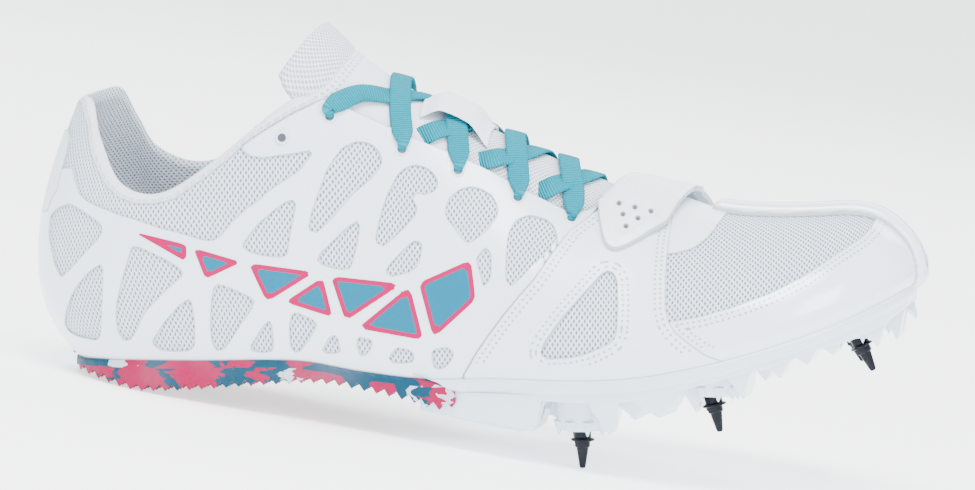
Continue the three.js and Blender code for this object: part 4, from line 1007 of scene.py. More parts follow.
def make_tongue():
    rings, across, rounding, turn = 170, 90, 6, 84
    # outside from edge to edge and one rounded edge, in degrees and depth; then the same turned over
    half = [(-turn + 2 * turn * k / (across - 1), 0.0) for k in range(across)]
    half += [(turn + 3 * math.sin(math.pi * k / rounding), k / rounding) for k in range(1, rounding)]
    angle, depth = np.array(half + [(-degrees, 1 - d) for degrees, d in half]).T
    a, g = np.meshgrid(np.linspace(0, 1, rings), np.radians(angle), indexing="ij")
    d = np.broadcast_to(depth, a.shape)
    rim = np.sqrt(np.clip(1 - np.clip((a - 0.955) / 0.045, 0, 1) ** 2, 0.0, 1))
    points = tongue_point(a, g, 0.5 + (d - 0.5) * np.maximum(rim, 0.06))
    place = drawn(points)
    seam = depth_in(TONGUE_SEAM, place.reshape(-1, 2)).reshape(a.shape) / SCALE
    outside = d < 0.5
    middle = np.stack([points[..., 0], np.zeros_like(a), points[..., 2] - 30], -1)
    out = points - middle
    out /= np.linalg.norm(out, axis=-1, keepdims=True)
    groove = np.where(outside, 0.6 * np.exp(-(seam / 0.7) ** 2), 0.0)
    swell = np.where(outside, 0.55 * smoothstep(seam, 0.2, 4.5), 0.0)
    points = points + out * (swell - groove)[..., None]
    made = make_object("tongue_pad", stand(points.reshape(-1, 3)), tube_faces(rings, len(angle)))
    lengths = np.cumsum(np.concatenate([[0], np.linalg.norm(np.diff(points[:, across // 2], axis=0), axis=1)]))
    give_uv(made, "weave", np.column_stack([np.repeat(lengths, len(angle)), (g * 21.0).reshape(-1)]))
    give_values(made, "seam", np.where(outside, seam, 6.0).reshape(-1))
    give_values(made, "netted", np.maximum(seam > 0, smoothstep(place[..., 0], 458, 474)).reshape(-1))
    made.data.materials.append(tongue_material())
    tidy_normals(made)
    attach(made, "root")
    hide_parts("tongue")


def tongue_material():
    material, tree, shader = new_material("tongue_mesh", (0.84, 0.87, 0.91), 0.8, sheen_weight=0.12)
    weave = uv_of(tree, "weave")
    grain, stain = grain_of(tree, 2600.0)
    pores = use_group(tree, OPEN_MESH, Vector=weave, Pitch=1.3, Size=0.27, Stretch=0.8, Slim=0.8)
    seam = value_of(tree, "seam")
    mesh = value_of(tree, "netted")
    line = ramp(calc("ABSOLUTE", seam), 0.4, 0.05)
    split = parts_of(weave)
    dots = []
    for place in (1.6, 3.2):
        off = ramp(calc("ABSOLUTE", plus(seam, place)), 0.45, 0.2)
        dots.append(times(off, ramp(calc("PINGPONG", split[1], 0.9), 0.5, 0.7)))
    dot = calc("MAXIMUM", *dots)
    base = blend(stain, (0.72, 0.775, 0.84), (0.66, 0.715, 0.785))
    pore = times(pores["Hole"], mesh)
    color = blend(times(pore, 0.7), base, (0.26, 0.3, 0.37))
    color = blend(times(line, 0.5), color, (0.5, 0.54, 0.6))
    color = blend(times(dot, 0.55), color, (0.45, 0.5, 0.56))
    height = minus(times(grain, 0.25), times(pores["Depth"], times(mesh, 0.8)))
    finish(tree, shader, color, minus(height, dot), 0.0004)
    return material


make_tongue()

# Lace: one flat ribbed light blue lace. Each crossing rises out of its eyelet, runs over the
# tongue under or over its neighbour, and goes down on the other side behind the eyelet edge;
# only the last one ends in the top hole from outside.
EYELETS = [(0.39, 0.93), (0.443, 0.92), (0.486, 0.92), (0.531, 0.92), (0.573, 0.93)]
EYELETS_INNER = [(0.425, 0.93), (0.467, 0.92), (0.507, 0.92), (0.547, 0.92), (0.583, 0.93)]
SPARE_EYELET = (282, 138)
LACE_WIDTH, LACE_THICK = 6.4, 1.1


def wall_frame(turn, rise):
    """Point of the upper with the directions along it, up it and out of it."""
    point = last_surface(turn, rise)
    along = last_surface(turn + TURN_STEP, rise) - point
    up = last_surface(turn, rise + 0.01) - point
    out = np.cross(along, up)
    return point, along / np.linalg.norm(along), up / np.linalg.norm(up), -out / np.linalg.norm(out)


def smooth_path(points, steps):
    """Catmull-Rom curve through the points."""
    p = np.vstack([2 * points[0] - points[1], points, 2 * points[-1] - points[-2]])
    out = []
    for k in range(1, len(p) - 2):
        for t in np.linspace(0, 1, steps, endpoint=False):
            out.append(0.5 * (2 * p[k] + (p[k + 1] - p[k - 1]) * t
                              + (2 * p[k - 1] - 5 * p[k] + 4 * p[k + 1] - p[k + 2]) * t**2
                              + (3 * p[k] - p[k - 1] - 3 * p[k + 1] + p[k + 2]) * t**3))
    out.append(p[-2])
    return np.array(out)


def over_tongue(x, degrees, lift):
    """Point above the outside of the tongue, and the way out of it there."""
    along = np.interp(x / LENGTH, TONGUE[::-1, 0], np.linspace(1, 0, len(TONGUE)))
    g = math.radians(degrees)
    out = np.array([0.25 * math.cos(g), math.sin(g), math.cos(g)])
    out /= np.linalg.norm(out)
    return tongue_point(np.array(along), np.array(g), np.array(0.0)) + out * lift, out


def strand(k, near_side):
    """Ribbon that rises from eyelet k: over the other one from the outer side, under it from the inner."""
    s = -1 if near_side else 1
    rows = (EYELETS, EYELETS_INNER) if near_side else (EYELETS_INNER, EYELETS)
    near, far = rows[0][k], rows[1][k - 1]
    outside_end = k == 1
    hole, _, up_a, out_a = wall_frame(s * near[0], near[1])
    slip = 0.0 if outside_end else 0.01
    end, _, up_b, out_b = wall_frame(-s * far[0], far[1])
    lip_a, lip_b = last_surface(s * near[0], 1.0), last_surface(-s * (far[0] + slip), 1.0)
    at_outer = wall_frame(-EYELETS[k][0], EYELETS[k][1])[0][0]
    ridge = at_outer + (-4.5 if near_side else 3.0)
    line = [(hole - out_a * 1.4 - up_a * 0.4, out_a), (hole + out_a * 0.9 + up_a * 0.9, out_a),
            (hole * 0.4 + lip_a * 0.6 + out_a * 1.5, out_a)]
    for degrees in (50, 36, 22, 8, -8, -22, -36, -50):
        t = (abs(degrees) / 62) ** (1.0 if near_side or degrees > 0 else 2.0)
        x = ridge * (1 - t) + (lip_a if degrees > 0 else lip_b)[0] * t
        line.append(over_tongue(x, s * degrees, (2.0 if near_side else 0.7) if abs(degrees) < 45 else 1.2))
    if outside_end:
        line += [(end * 0.4 + lip_b * 0.6 + out_b * 1.5, out_b), (end + out_b * 0.9 + up_b * 0.9, out_b),
                 (end - out_b * 1.4 - up_b * 0.4, out_b)]
    else:
        line += [(lip_b - out_b * 2.6 + up_b * 0.4, out_b), (lip_b - out_b * 3.2 - up_b * 4.0, out_b)]
    return smooth_path(np.array([p for p, _ in line]), 10), smooth_path(np.array([n for _, n in line]), 10)


def make_lace():
    points, faces, uv = [], [], []
    profile = [(-1, 0), (-0.94, 0.42), (-0.7, 0.5), (0, 0.55), (0.7, 0.5), (0.94, 0.42), (1, 0),
               (0.94, -0.42), (0.7, -0.5), (0, -0.5), (-0.7, -0.5), (-0.94, -0.42)]
    for k, near_side in [(k, side) for k in range(1, len(EYELETS)) for side in (True, False)]:
        path, facing = strand(k, near_side)
        faces += tube_faces(len(path), len(profile), len(points))
        tangent = np.gradient(path, axis=0)
        tangent /= np.linalg.norm(tangent, axis=1, keepdims=True)
        length = np.concatenate([[0], np.cumsum(np.linalg.norm(np.diff(path, axis=0), axis=1))])
        total = length[-1]
        for n, (p, t, out) in enumerate(zip(path, tangent, facing)):
            wide = np.cross(out, t)
            wide /= np.linalg.norm(wide) * (1 if wide[0] > 0 else -1)
            up = np.cross(wide, t)
            up = up if up @ out > 0 else -up
            pinch = 0.3 + 0.7 * smoothstep(length[n], 0.8, 8.5)
            if k == 1:
                pinch *= 0.3 + 0.7 * smoothstep(total - length[n], 0.8, 8.5)
            fat = LACE_THICK * (1 + 1.1 * (1 - pinch))
            for w, h in profile:
                points.append(p + wide * w * LACE_WIDTH / 2 * pinch + up * h * fat)
                uv.append((length[n], w * LACE_WIDTH / 2 + (0 if h >= 0 else 10)))
    made = make_object("lace_ribbon", stand(np.array(points)), faces)
    give_uv(made, "weave", uv)
    tidy_normals(made)
    material, tree, shader = new_material("lace_weave", (0.0, 0.3, 0.42), 0.75, specular_ior_level=0.08)
    split = parts_of(uv_of(tree, "weave"))
    grain, stain = grain_of(tree, 2600.0)
    rib_relief_and_shade = times(calc("PINGPONG", split[0], 0.38), 2.6)
    cord = times(calc("PINGPONG", split[1], 0.3), 3.3)
    # painted shade: the colour darkens in the grooves between the ribs, following the rib relief
    color = blend(rib_relief_and_shade, (0.0, 0.14, 0.2), (0.0, 0.28, 0.37))
    color = blend(times(stain, 0.3), color, (0.0, 0.31, 0.4))
    finish(tree, shader, color, plus(plus(rib_relief_and_shade, times(cord, 0.3)), times(grain, 0.3)), 0.00035)
    made.data.materials.append(material)
    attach(made, "root")
    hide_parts("lace")


make_lace()

# Eyelets: punched holes through the film, each with a pressed rim round a dark well, a flat disc painted
# near black as painted shade of the hole; the top pair has no lace in it.
def make_eyelets():
    profile = [(0.0, 0.6), (1.0, 0.6), (1.2, 0.62), (1.32, 0.8), (1.55, 0.98), (1.8, 0.92), (2.05, 0.7), (2.1, 0.2)]
    points, faces, painted_hole_shade, spots, around = [], [], [], [], 28
    for side, eyelets in ((-1, EYELETS), (1, EYELETS_INNER)):
        spots += [(side * share, rise) for share, rise in eyelets]
        away = np.linalg.norm(skin[:, PLACE] - SPARE_EYELET, axis=1)
        nearest = np.argmin(away + FAR * (skin[:, SIDE] != side))
        spots.append((side * skin[nearest, SHARE], skin[nearest, RISE]))
    for turn, rise in spots:
        centre, along, _, out = wall_frame(turn, rise)
        across = np.cross(out, along)
        faces += tube_faces(len(profile), around, len(points))
        for radius, height in profile:
            for k in range(around):
                a = 2 * math.pi * k / around
                spoke = along * math.cos(a) + across * math.sin(a)
                points.append(centre + out * height + spoke * max(radius, 0.02))
                # the flat middle of each disc carries painted shade, near black where the hole would be dark
                painted_hole_shade.append(1.0 if radius < 1.25 else 0.0)
    made = make_object("eyelet_rims", stand(np.array(points)), faces)
    give_values(made, "well", painted_hole_shade)
    tidy_normals(made)
    material, tree, shader = new_material("eyelet_film", (0.84, 0.87, 0.9), 0.4)
    grain, stain = grain_of(tree, 1500.0)
    rim = blend(stain, (0.72, 0.78, 0.85), (0.6, 0.66, 0.74))
    # painted shade: the well of each eyelet is painted near black
    color = blend(ramp(value_of(tree, "well"), 0.3, 0.6), rim, (0.05, 0.06, 0.08))
    finish(tree, shader, color, grain, 0.0001)
    made.data.materials.append(material)
    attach(made, "root")


make_eyelets()

# Lace keeper: a white band sewn flat on the tongue above and below a slot, arched where the
# third crossing runs under it.
KEEPER_FROM, KEEPER_TO, KEEPER_TURN = 0.319 * LENGTH, 0.393 * LENGTH, 43.0


def make_keeper():
    steps, across = 44, 30
    points, faces = [], []
    for layer in (0, 1):
        for i in range(steps + 1):
            t = i / steps
            x = KEEPER_FROM + (KEEPER_TO - KEEPER_FROM) * t
            arch = smoothstep(min(t, 1 - t), 0, 0.32) * 3.4
            for k in range(across + 1):
                w = -1 + 2 * k / across
                turn = w * KEEPER_TURN * (1 - 0.2 * (1 - (2 * t - 1) ** 2))
                edge = 0.35 * (1 - (1 - abs(w)) ** 0.5) if abs(w) > 0.8 else 0.0
                point, _ = over_tongue(x, turn, arch + 0.35 + (0.9 - edge if layer == 0 else edge))
                points.append(point)
    row = across + 1
    half = (steps + 1) * row
    for i in range(steps):
        for k in range(across):
            a = i * row + k
            faces.append((a, a + row, a + row + 1, a + 1))
            faces.append((half + a, half + a + 1, half + a + row + 1, half + a + row))
    ring = ([k for k in range(row)] + [i * row + across for i in range(1, steps + 1)]
            + [steps * row + k for k in range(across - 1, -1, -1)] + [i * row for i in range(steps - 1, 0, -1)])
    for a, b in zip(ring, ring[1:] + ring[:1]):
        faces.append((a, b, b + half, a + half))
    made = make_object("lace_keeper_band", stand(np.array(points, float)), faces)
    tidy_normals(made)
    material, tree, shader = new_material("keeper_film", (0.86, 0.885, 0.92), 0.5)
    grain, stain = grain_of(tree, 1800.0)
    finish(tree, shader, blend(stain, (0.75, 0.81, 0.88), (0.69, 0.75, 0.82)), grain, 0.0002)
    made.data.materials.append(material)
    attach(made, "root")
    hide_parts("lace_keeper")


make_keeper()

# Insole: a cupped foot bed of thin die-cut foam, thicker under the heel, with grey knitted
# cloth bonded to its top. It lies loose on the lasting board and fills the bottom of the shoe.
def outline_at(spread):
    """Feather outline in plan grown by spread: its ends, and its outer and inner edge at any x."""
    share = (1 - np.cos(np.pi * np.linspace(0, 1, 500))) / 2
    edges = [feather(s * share)[:, :2] + outward(s * share)[:, :2] * spread for s in (-1, 1)]
    edges = [e[np.argsort(e[:, 0])] for e in edges]
    ends = (max(e[0, 0] for e in edges), min(e[-1, 0] for e in edges))
    return ends, lambda x: np.interp(x, *edges[0].T), lambda x: np.interp(x, *edges[1].T)


def loft(name, xs, section):
    """Closed solid through one ring of (y, z) points per place along the shoe."""
    rings = [np.asarray(section(x)) for x in xs]
    n = len(rings[0])
    points = np.concatenate([np.column_stack([np.full(n, x), ring]) if ring.shape[1] == 2 else ring
                             for x, ring in zip(xs, rings)])
    made = make_object(name, stand(points), tube_faces(len(xs), n))
    tidy_normals(made)
    return made


def make_insole():
    turns = np.linspace(0, 1, 500)
    rises = np.linspace(0, 0.4, 60)
    edges = []
    for side in (-1, 1):
        wall = last_surface(*np.meshgrid(side * turns, rises, indexing="ij"))
        climb = wall[..., 2] - wall[:, :1, 2]
        thick = 5.6 - 1.8 * smoothstep(wall[:, 0, 0], 0.15 * LENGTH, 0.455 * LENGTH)
        at = np.array([[np.interp(h, c, w[:, k]) for k in (0, 1)] for h, c, w in zip(thick, climb, wall)])
        at -= outward(side * turns)[:, :2] * (WALL + 0.05)
        edges.append(at[np.argsort(at[:, 0])])
    _, low_outer, low_inner = outline_at(-2.3)
    start, stop = max(e[0, 0] for e in edges), min(e[-1, 0] for e in edges)
    xs = start + (stop - start) * (1 - np.cos(np.pi * np.linspace(0.015, 0.985, 140))) / 2

    def section(x):
        a, b = (float(np.interp(x, *e.T)) for e in edges)
        thick = 5.2 - 1.8 * smoothstep(x, 0.15 * LENGTH, 0.455 * LENGTH)
        ys = a + (b - a) * (1 - np.cos(np.pi * np.linspace(0, 1, 45))) / 2
        cup = np.abs((ys - (a + b) / 2) / ((b - a) / 2))
        top = feather_z(x) + thick - 1.3 * (1 - smoothstep(cup, 0.15, 0.95)) + 0.5 * smoothstep(cup, 0.9, 1.0)
        low_a, low_b = float(low_outer(x)), float(low_inner(x))
        low = np.linspace(max(min(low_b, b), a), min(max(low_a, a), b), 7)
        return np.column_stack([np.concatenate([ys, low]), np.concatenate([top, np.full(7, feather_z(x) + 0.1)])])

    made = loft("insole_bed", xs, section)
    material, tree, shader = new_material("insole_cloth", (0.62, 0.65, 0.7), 0.9, sheen_weight=0.2)
    grain, stain = grain_of(tree, 2200.0)
    millimetres = vector_calc("MULTIPLY", place_of(tree), (1000.0, 1000.0, 1000.0))
    knit = use_group(tree, OPEN_MESH, Vector=millimetres, Pitch=0.9, Size=0.3)
    color = blend(stain, (0.68, 0.71, 0.76), (0.55, 0.58, 0.63))
    color = blend(times(knit["Hole"], 0.5), color, (0.35, 0.38, 0.42))
    finish(tree, shader, color, minus(grain, knit["Depth"]), 0.0003)
    made.data.materials.append(material)
    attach(made, "root")
    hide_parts("insole")


make_insole()

# Heel rubber: a marbled pink, blue and white outsole from the heel to the arch, with a
# level band round its side and rows of small pyramids underneath that show as saw teeth.
TOOTH_PITCH, TOOTH_DEPTH = 3.75, 2.2
RUBBER_BOTTOM = np.array([
    (-0.09, 0.0185), (-0.0644, 0.014), (-0.0303, 0.0062), (0.002, -0.0006), (0.0326, -0.0008), (0.0936, 0.0034),
    (0.1356, 0.0075), (0.206, 0.0125), (0.2345, 0.011), (0.2633, 0.0064), (0.2943, 0.0008), (0.322, -0.0049),
    (0.3545, -0.0129), (0.38, -0.006)])
# top of the front end, where the rubber thins out over the plate: places, then heights
RUBBER_TONGUE = [0.29, 0.31, 0.352, 0.38], [0.06, 0.031, 0.0168, 0.004]
# marbling along the side band and along the teeth: where each colour starts, in millimetres
BAND_COLORS = [(-25, "blue"), (-8.7, "white"), (-4.1, "pink"), (2.7, "blue"), (7.8, "pink"), (20, "blue"),
               (25.9, "pink"), (32.3, "blue"), (44.6, "pink"), (50.9, "blue"), (85.5, "pink"), (88.1, "white"),
               (96.5, "pink")]
TEETH_COLORS = [(-25, "pink"), (-8.3, "blue"), (-5, "pink"), (7.8, "blue"), (12, "pink"), (24.6, "blue"),
                (33.2, "pink"), (38.3, "blue"), (43.3, "white"), (46.7, "pink"), (60.2, "blue"), (71.2, "pink"),
                (74.6, "blue"), (79.8, "white"), (83, "blue"), (87.2, "pink"), (90.7, "white"), (95, "pink")]
RUBBER_COLORS = {"blue": (0.0, 0.042, 0.078), "pink": (0.27, 0.0, 0.046), "white": (0.42, 0.49, 0.57)}


def make_rubber():
    ends, outer, inner = outline_at(1.5)
    step = TOOTH_PITCH / 8
    start, stop = ends[0], 0.3735 * LENGTH
    xs = np.arange(math.ceil((start + 0.3) / step), math.floor(stop / step) + 1) * step
    xs = np.unique(np.concatenate([start + np.array([0.02, 0.08, 0.2]), xs]))
    floor_slope = math.tan(TIP)

    def section(x):
        tip = LENGTH * column(RUBBER_BOTTOM, 1, x / LENGTH)
        top = min(feather_z(x) - 0.15, LENGTH * np.interp(x / LENGTH, *RUBBER_TONGUE))
        a, b = outer(x), inner(x)
        across = np.linspace(0, 1, 120)
        ys = a + (b - a) * ((1 - np.cos(np.pi * across)) / 2 * 0.15 + across * 0.85)
        inset = np.minimum(ys - a, b - ys)
        fx = abs(2 * ((x / TOOTH_PITCH + 0.5) % 1) - 1)
        fy = np.abs(2 * ((inset / TOOTH_PITCH + 0.5) % 1) - 1)
        bottom = tip + TOOTH_DEPTH * np.clip(np.maximum(fx, fy) * 1.12 - 0.06, 0, 1)
        nose = smoothstep(x, stop - 3.5, stop)
        bottom = bottom * (1 - nose) + np.minimum(bottom, top - 1) * nose
        bottom = np.minimum(np.maximum(bottom, -x * floor_slope), top - 0.4)
        side = np.linspace(0, 1, 7)[1:-1]
        bulge = 0.35 * np.sin(np.pi * side)
        right = np.column_stack([b + bulge - 0.1, bottom[-1] + (top - bottom[-1]) * side])
        left = np.column_stack([a - bulge + 0.1, top + (bottom[0] - top) * side])
        lid = np.column_stack([np.linspace(b - 0.3, a + 0.3, 9), np.full(9, top)])
        return np.concatenate([np.column_stack([ys, bottom]), right, lid, left])

    made = loft("heel_rubber_teeth", xs, section)
    made.data.polygons.foreach_set("use_smooth", [False] * len(made.data.polygons))
    material, tree, shader = new_material("marbled_rubber", RUBBER_COLORS["pink"], 0.45, specular_ior_level=0.15)
    place = place_of(tree)
    warp = minus(noise(tree, Vector=vector_calc("MULTIPLY", place, (0.7, 1.0, 1.5)), Scale=150.0, Detail=3.5,
                       Distortion=0.8), 0.5)
    split = parts_of(place)
    inward = times(plus(split[1], 0.026), 900.0)
    along = plus(times(split[0], 1011.0), times(warp, 26.0))
    chart_from, chart_span = 25.0, 130.0
    bands = []
    for colors, drift in ((BAND_COLORS, 0.35), (TEETH_COLORS, 0.55)):
        at = calc("DIVIDE", plus(plus(along, times(inward, drift)), chart_from), chart_span)
        chart = join("ShaderNodeValToRGB", (calc("FRACT", at),))
        chart.color_ramp.interpolation = "CONSTANT"
        stops = chart.color_ramp.elements
        for k, (x, name) in enumerate(colors):
            at = (x + chart_from) / chart_span
            stop_at = stops[k] if k < 2 else stops.new(at)
            stop_at.position = at
            stop_at.color = (*RUBBER_COLORS[name], 1.0)
        bands.append(chart.outputs[0])
    grain, stain = grain_of(tree, 1800.0)
    color = blend(ramp(plus(value_of(tree, "band"), times(warp, 1.2)), -0.1, 0.1), bands[1], bands[0])
    color = blend(times(ramp(stain, 0.55, 0.75), 0.12), color, (0.3, 0.3, 0.38))
    finish(tree, shader, color, grain, 0.00015)
    made.data.materials.append(material)
    level = np.empty(len(made.data.vertices) * 3)
    made.data.vertices.foreach_get("co", level)
    level = level.reshape(-1, 3) * 1000
    x = level[:, 0] * math.cos(TIP) + level[:, 2] * math.sin(TIP)
    z = -level[:, 0] * math.sin(TIP) + level[:, 2] * math.cos(TIP)
    give_values(made, "band", z - (feather_z(x) - 2.3))
    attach(made, "root")
    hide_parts("heel_outsole")


make_rubber()

# Spike plate: one hard glossy white moulding from the arch to the toe: a rounded rim round
# the upper, a deeper body inside it, cross lugs and a round boss for each pin.
PLATE_BOTTOM = np.array([
    (0.33, 0.004), (0.38, 0.0), (0.46, 0.0), (0.55, 0.0), (0.606, 0.0114), (0.644, 0.0208), (0.686, 0.0322),
    (0.72, 0.0398), (0.758, 0.0549), (0.795, 0.0644), (0.83, 0.0795), (0.85, 0.095), (0.88, 0.118)])
# underside of the back end, where the plate rises over the rubber: places, then heights
PLATE_RAMP = [0.325, 0.353, 0.3815], [0.0262, 0.0172, 0.0]
# shares of the length and of the forefoot: x, y, height of the foot; then the radius of the boss and how
# far the pin leans towards the toe, square to the plate
PINS = [
    (0.5076, -0.3133, -0.0356, 8.6, 0.0), (0.4754, 0.241, -0.0356, 8.6, 0.0), (0.6496, -0.3012, 0.0045, 8.4, 12.0),
    (0.6136, 0.3373, 0.0045, 8.4, 12.0), (0.8, -0.0602, 0.0635, 6.4, 26.0), (0.779, 0.2892, 0.0635, 6.4, 26.0)]
# back root, tip, height of the tip, front root, inner and outer share of the half width, lean
LUGS = [
    (136, 143.5, -9.5, 147, 0.62, 1, 1), (143, 150.5, -5.4, 157, 0.2, 0.9, 4),
    (148, 158, -4.2, 168, 0.55, 1, 3), (162.5, 167.5, -3.6, 171, 0.4, 0.8, 1), (176, 181.5, 1, 184, 0.5, 0.98, 1),
    (182, 186.5, 5.2, 191, 0.1, 0.7, 2), (187, 191.5, 7, 196, 0.55, 1, 1), (194, 199, 10.6, 203, 0.5, 1, 1),
    (201, 206, 13, 209, 0.55, 1, 1), (213, 217.5, 14.6, 220, 0.6, 1, 0.5), (219, 222.5, 15.4, 224.6, 0.1, 0.9, 0.5),
    (223, 227.0, 20.6, 226, 0.1, 0.8, 0.3)]
# the broad wedge behind the first pins, in the side view, x and z
WEDGE = [(87.5, -4.0), (87.5, 2.0), (116.5, -8.9), (121.5, -9.1), (124.5, 2.0)]


def plate_bottom(x):
    return LENGTH * column(PLATE_BOTTOM, 1, np.asarray(x) / LENGTH)


def plate_material():
    material, tree, shader = new_material("plate_gloss", (0.84, 0.88, 0.92), 0.22, coat_weight=0.6,
                                          coat_roughness=0.08, subsurface_weight=0.08, subsurface_scale=0.004)
    grain, stain = grain_of(tree, 900.0)
    color = blend(stain, (0.64, 0.73, 0.83), (0.56, 0.66, 0.77))
    finish(tree, shader, color, grain, 0.00006, blend_value(stain, 0.16, 0.34))
    return material


PLATE_GLOSS = plate_material()


def make_plate():
    ends, outer, inner = outline_at(1.6)
    back = 0.325 * LENGTH
    xs = np.unique(np.concatenate([np.linspace(back, 215, 150), 215 + (ends[1] - 215) * np.sin(
        np.linspace(0, math.pi / 2, 30))[:-1]]))
    # inward step and drop from the top of the rim
    profile = [(0.9, 0.0), (0.3, -0.12), (0.0, -0.6), (-0.12, -1.6), (0.05, -2.6), (0.5, -3.3), (1.15, -3.6),
               (1.5, -3.9), (1.65, -4.6), (1.8, -6.0), (2.3, -8.0)]

    def section(x):
        floor_here = float(plate_bottom(x))
        if x < PLATE_RAMP[0][-1] * LENGTH:
            floor_here = max(floor_here, LENGTH * float(np.interp(x / LENGTH, *PLATE_RAMP)))
        a, b = float(outer(x)), float(inner(x))
        half = (b - a) / 2
        top = feather_z(x) - 0.1
        depth = top - floor_here
        ring = []
        for inset, drop in profile:
            fall = min(-drop, depth) if drop > -6.0 else depth * (1.0 if drop == -8.0 else 0.9)
            ring.append((a + min(inset, half * 0.8), top - min(fall, depth)))
        other = [(b - (y - a), z) for y, z in ring][::-1]
        crown = [(ring[-1][0] + (other[0][0] - ring[-1][0]) * t, floor_here + 0.3 * math.sin(math.pi * t))
                 for t in np.linspace(0, 1, 14)[1:-1]]
        lid = [(other[-1][0] + (ring[0][0] - other[-1][0]) * t, top) for t in np.linspace(0, 1, 8)[1:-1]]
        return np.array(ring + crown + other + lid)

    made = loft("plate_body", xs, section)
    made.data.materials.append(PLATE_GLOSS)
    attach(made, "root")
    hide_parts("spike_plate")


def add_hull(bm, points, width):
    """Convex moulding with soft edges."""
    verts = [bm.verts.new(p) for p in stand(np.array(points))]
    hull = bmesh.ops.convex_hull(bm, input=verts)
    edges = {g for g in hull["geom"] if isinstance(g, bmesh.types.BMEdge)}
    keep = [e for e in edges if e.is_valid and len(e.link_faces) == 2 and e.calc_face_angle(0) > 0.12]
    bmesh.ops.bevel(bm, geom=keep, offset=width / 1000, segments=3, profile=0.6, affect="EDGES")


def smooth_by_angle(made, degrees):
    """Smooth shading with a hard edge wherever two faces meet at more than the angle."""
    bpy.ops.object.select_all(action="DESELECT")
    made.select_set(True)
    bpy.context.view_layer.objects.active = made
    bpy.ops.object.shade_smooth_by_angle(angle=math.radians(degrees))


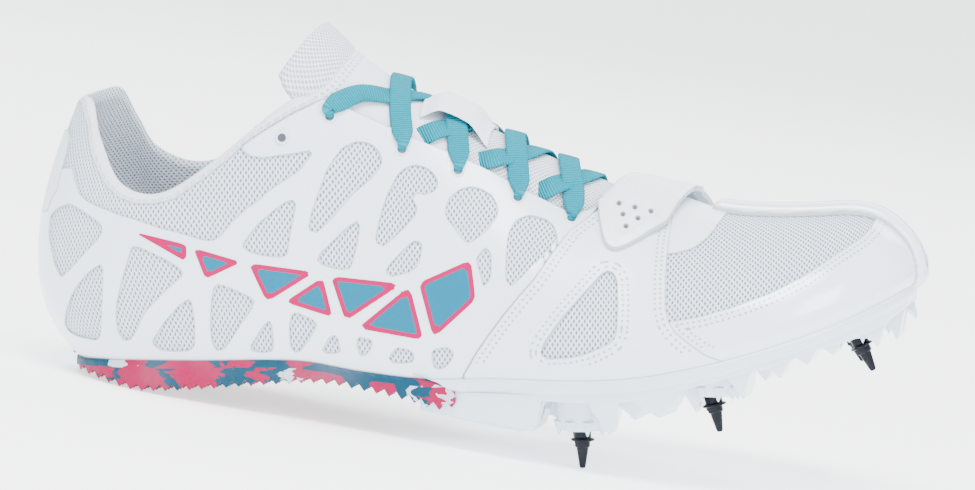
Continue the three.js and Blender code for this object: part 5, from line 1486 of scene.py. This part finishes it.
def make_lugs():
    bm = bmesh.new()
    _, outer, inner = outline_at(0.0)

    def at(edge, x, share):
        """Place across the plate, from 0 in the middle to 1 at that edge."""
        middle = (outer(x) + inner(x)) / 2
        return float(middle + (edge(x) - middle) * share)

    for back, tip, z, front, near, far, lean in LUGS:
        for edge in (outer, inner):
            root = [(x, at(edge, x, s), float(plate_bottom(x)) + 2.2) for x in (back, front) for s in (near, far)]
            hollow = back * 0.3 + tip * 0.7
            low = [(tip, at(edge, tip, far * 0.95), z),
                   (tip + lean, at(edge, tip, near + 0.1), z + (1 - near) * 1.5),
                   (hollow, at(edge, hollow, (near + far) / 2), z + 2.4)]
            add_hull(bm, root + low, 0.3)
    for edge in (outer, inner):
        add_hull(bm, [(x, at(edge, x, s), z) for x, z in WEDGE for s in (0.3, 0.97 if z < 0 else 1.0)], 0.6)
    for x, y, foot, radius, _ in PINS:
        x, y, foot = x * LENGTH, y * FOREFOOT, foot * LENGTH
        top = float(plate_bottom(x)) + 2.0
        for k in range(9):
            a = 2 * math.pi * (k + 0.25) / 9
            cx, cy = x + 0.8 * radius * math.cos(a), y + 0.8 * radius * math.sin(a)
            spread = [(cx + 1.9 * math.cos(b), cy + 1.9 * math.sin(b), foot + 3.0) for b in np.arange(0, 6.2, 1.05)]
            add_hull(bm, spread + [(cx + 0.6 * math.cos(a), cy + 0.6 * math.sin(a), foot - 1.5)], 0.12)
        rows = [(radius, top), (radius * 0.99, top - 1.5), (radius * 0.86, foot + 2.6), (radius * 0.76, foot + 0.7),
                (radius * 0.68, foot + 0.1), (radius * 0.6, foot), (4.0, foot), (3.8, foot + 1.2), (0.05, foot + 1.2)]
        rings = []
        for r, height in rows:
            ring = []
            for k in range(40):
                a = 2 * math.pi * k / 40
                scallop = 1 + (0.035 * math.cos(10 * a) if 4.1 < r < radius * 0.95 else 0)
                ring.append(bm.verts.new(stand(np.array([x + r * scallop * math.cos(a), y + r * scallop * math.sin(a),
                                                         height]))))
            rings.append(ring)
        for one, two in zip(rings, rings[1:]):
            for k in range(40):
                q = (k + 1) % 40
                bm.faces.new((one[k], one[q], two[q], two[k]))
        bm.faces.new(rings[0])
        bm.faces.new(rings[-1][::-1])
    bmesh.ops.recalc_face_normals(bm, faces=bm.faces)
    mesh = bpy.data.meshes.new("plate_lugs")
    bm.to_mesh(mesh)
    bm.free()
    made = bpy.data.objects.new("plate_lugs", mesh)
    bpy.context.collection.objects.link(made)
    mesh.polygons.foreach_set("use_smooth", [True] * len(mesh.polygons))
    smooth_by_angle(made, 35)
    made.data.materials.append(PLATE_GLOSS)
    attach(made, "root")


make_plate()
make_lugs()

# Pins: six turned and hardened steel points, blackened. Each screws by a key hex into the
# threaded boss of the plate until its thin flange seats, with the cone pointing down.
def make_pins():
    material, tree, shader = new_material("pin_steel", (0.006, 0.007, 0.01), 0.35, metallic=0.6,
                                          specular_ior_level=0.25)
    grain, stain = grain_of(tree, 3000.0)
    color = blend(stain, (0.003, 0.004, 0.007), (0.012, 0.014, 0.018))
    finish(tree, shader, color, grain, 0.00005, blend_value(grain, 0.25, 0.5))
    names = ["rear_lateral", "rear_medial", "middle_lateral", "middle_medial", "front_lateral", "front_medial"]
    # radius and height of thread, flange, key hex and cone
    profile = [(2.5, 1.2), (2.5, -2.0), (2.75, -2.2), (3.35, -2.4), (3.45, -2.6), (3.4, -2.9), (3.0, -3.05),
               (2.3, -3.1), (2.2, -3.3), (2.2, -4.6), (2.0, -4.8), (1.75, -5.0), (0.95, -10.0), (0.75, -10.45),
               (0.4, -10.6)]
    for name, (x, y, foot, _, lean) in zip(names, PINS):
        x, y, foot = x * LENGTH, y * FOREFOOT, foot * LENGTH
        extra = 0.35 if name.startswith("rear") else 0.0
        points, n = [], 36
        for r, z in profile:
            for k in range(n):
                a = 2 * math.pi * k / n
                if -4.7 < z < -3.2:
                    hexed = 1 / max(math.cos((a + math.pi / 6) % (math.pi / 3) - math.pi / 6), 0.5)
                    reach = r * hexed * (0.92 if hexed != 1 else 1)
                else:
                    reach = r
                points.append((reach * math.cos(a), reach * math.sin(a), z - (extra if z < -5 else 0)))
        across, wide, up = np.array(points).T
        c, s = math.cos(math.radians(lean)), math.sin(math.radians(lean))
        points = stand(np.column_stack([across * c - up * s, wide, across * s + up * c]) + (x, y, foot))
        points[:, 2] = np.maximum(points[:, 2], 0.0)
        made = make_object("pin_point_" + name, points, tube_faces(len(profile), n))
        tidy_normals(made)
        smooth_by_angle(made, 40)
        made.data.materials.append(material)
        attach(made, "root")
        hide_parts("pin_" + name)


make_pins()
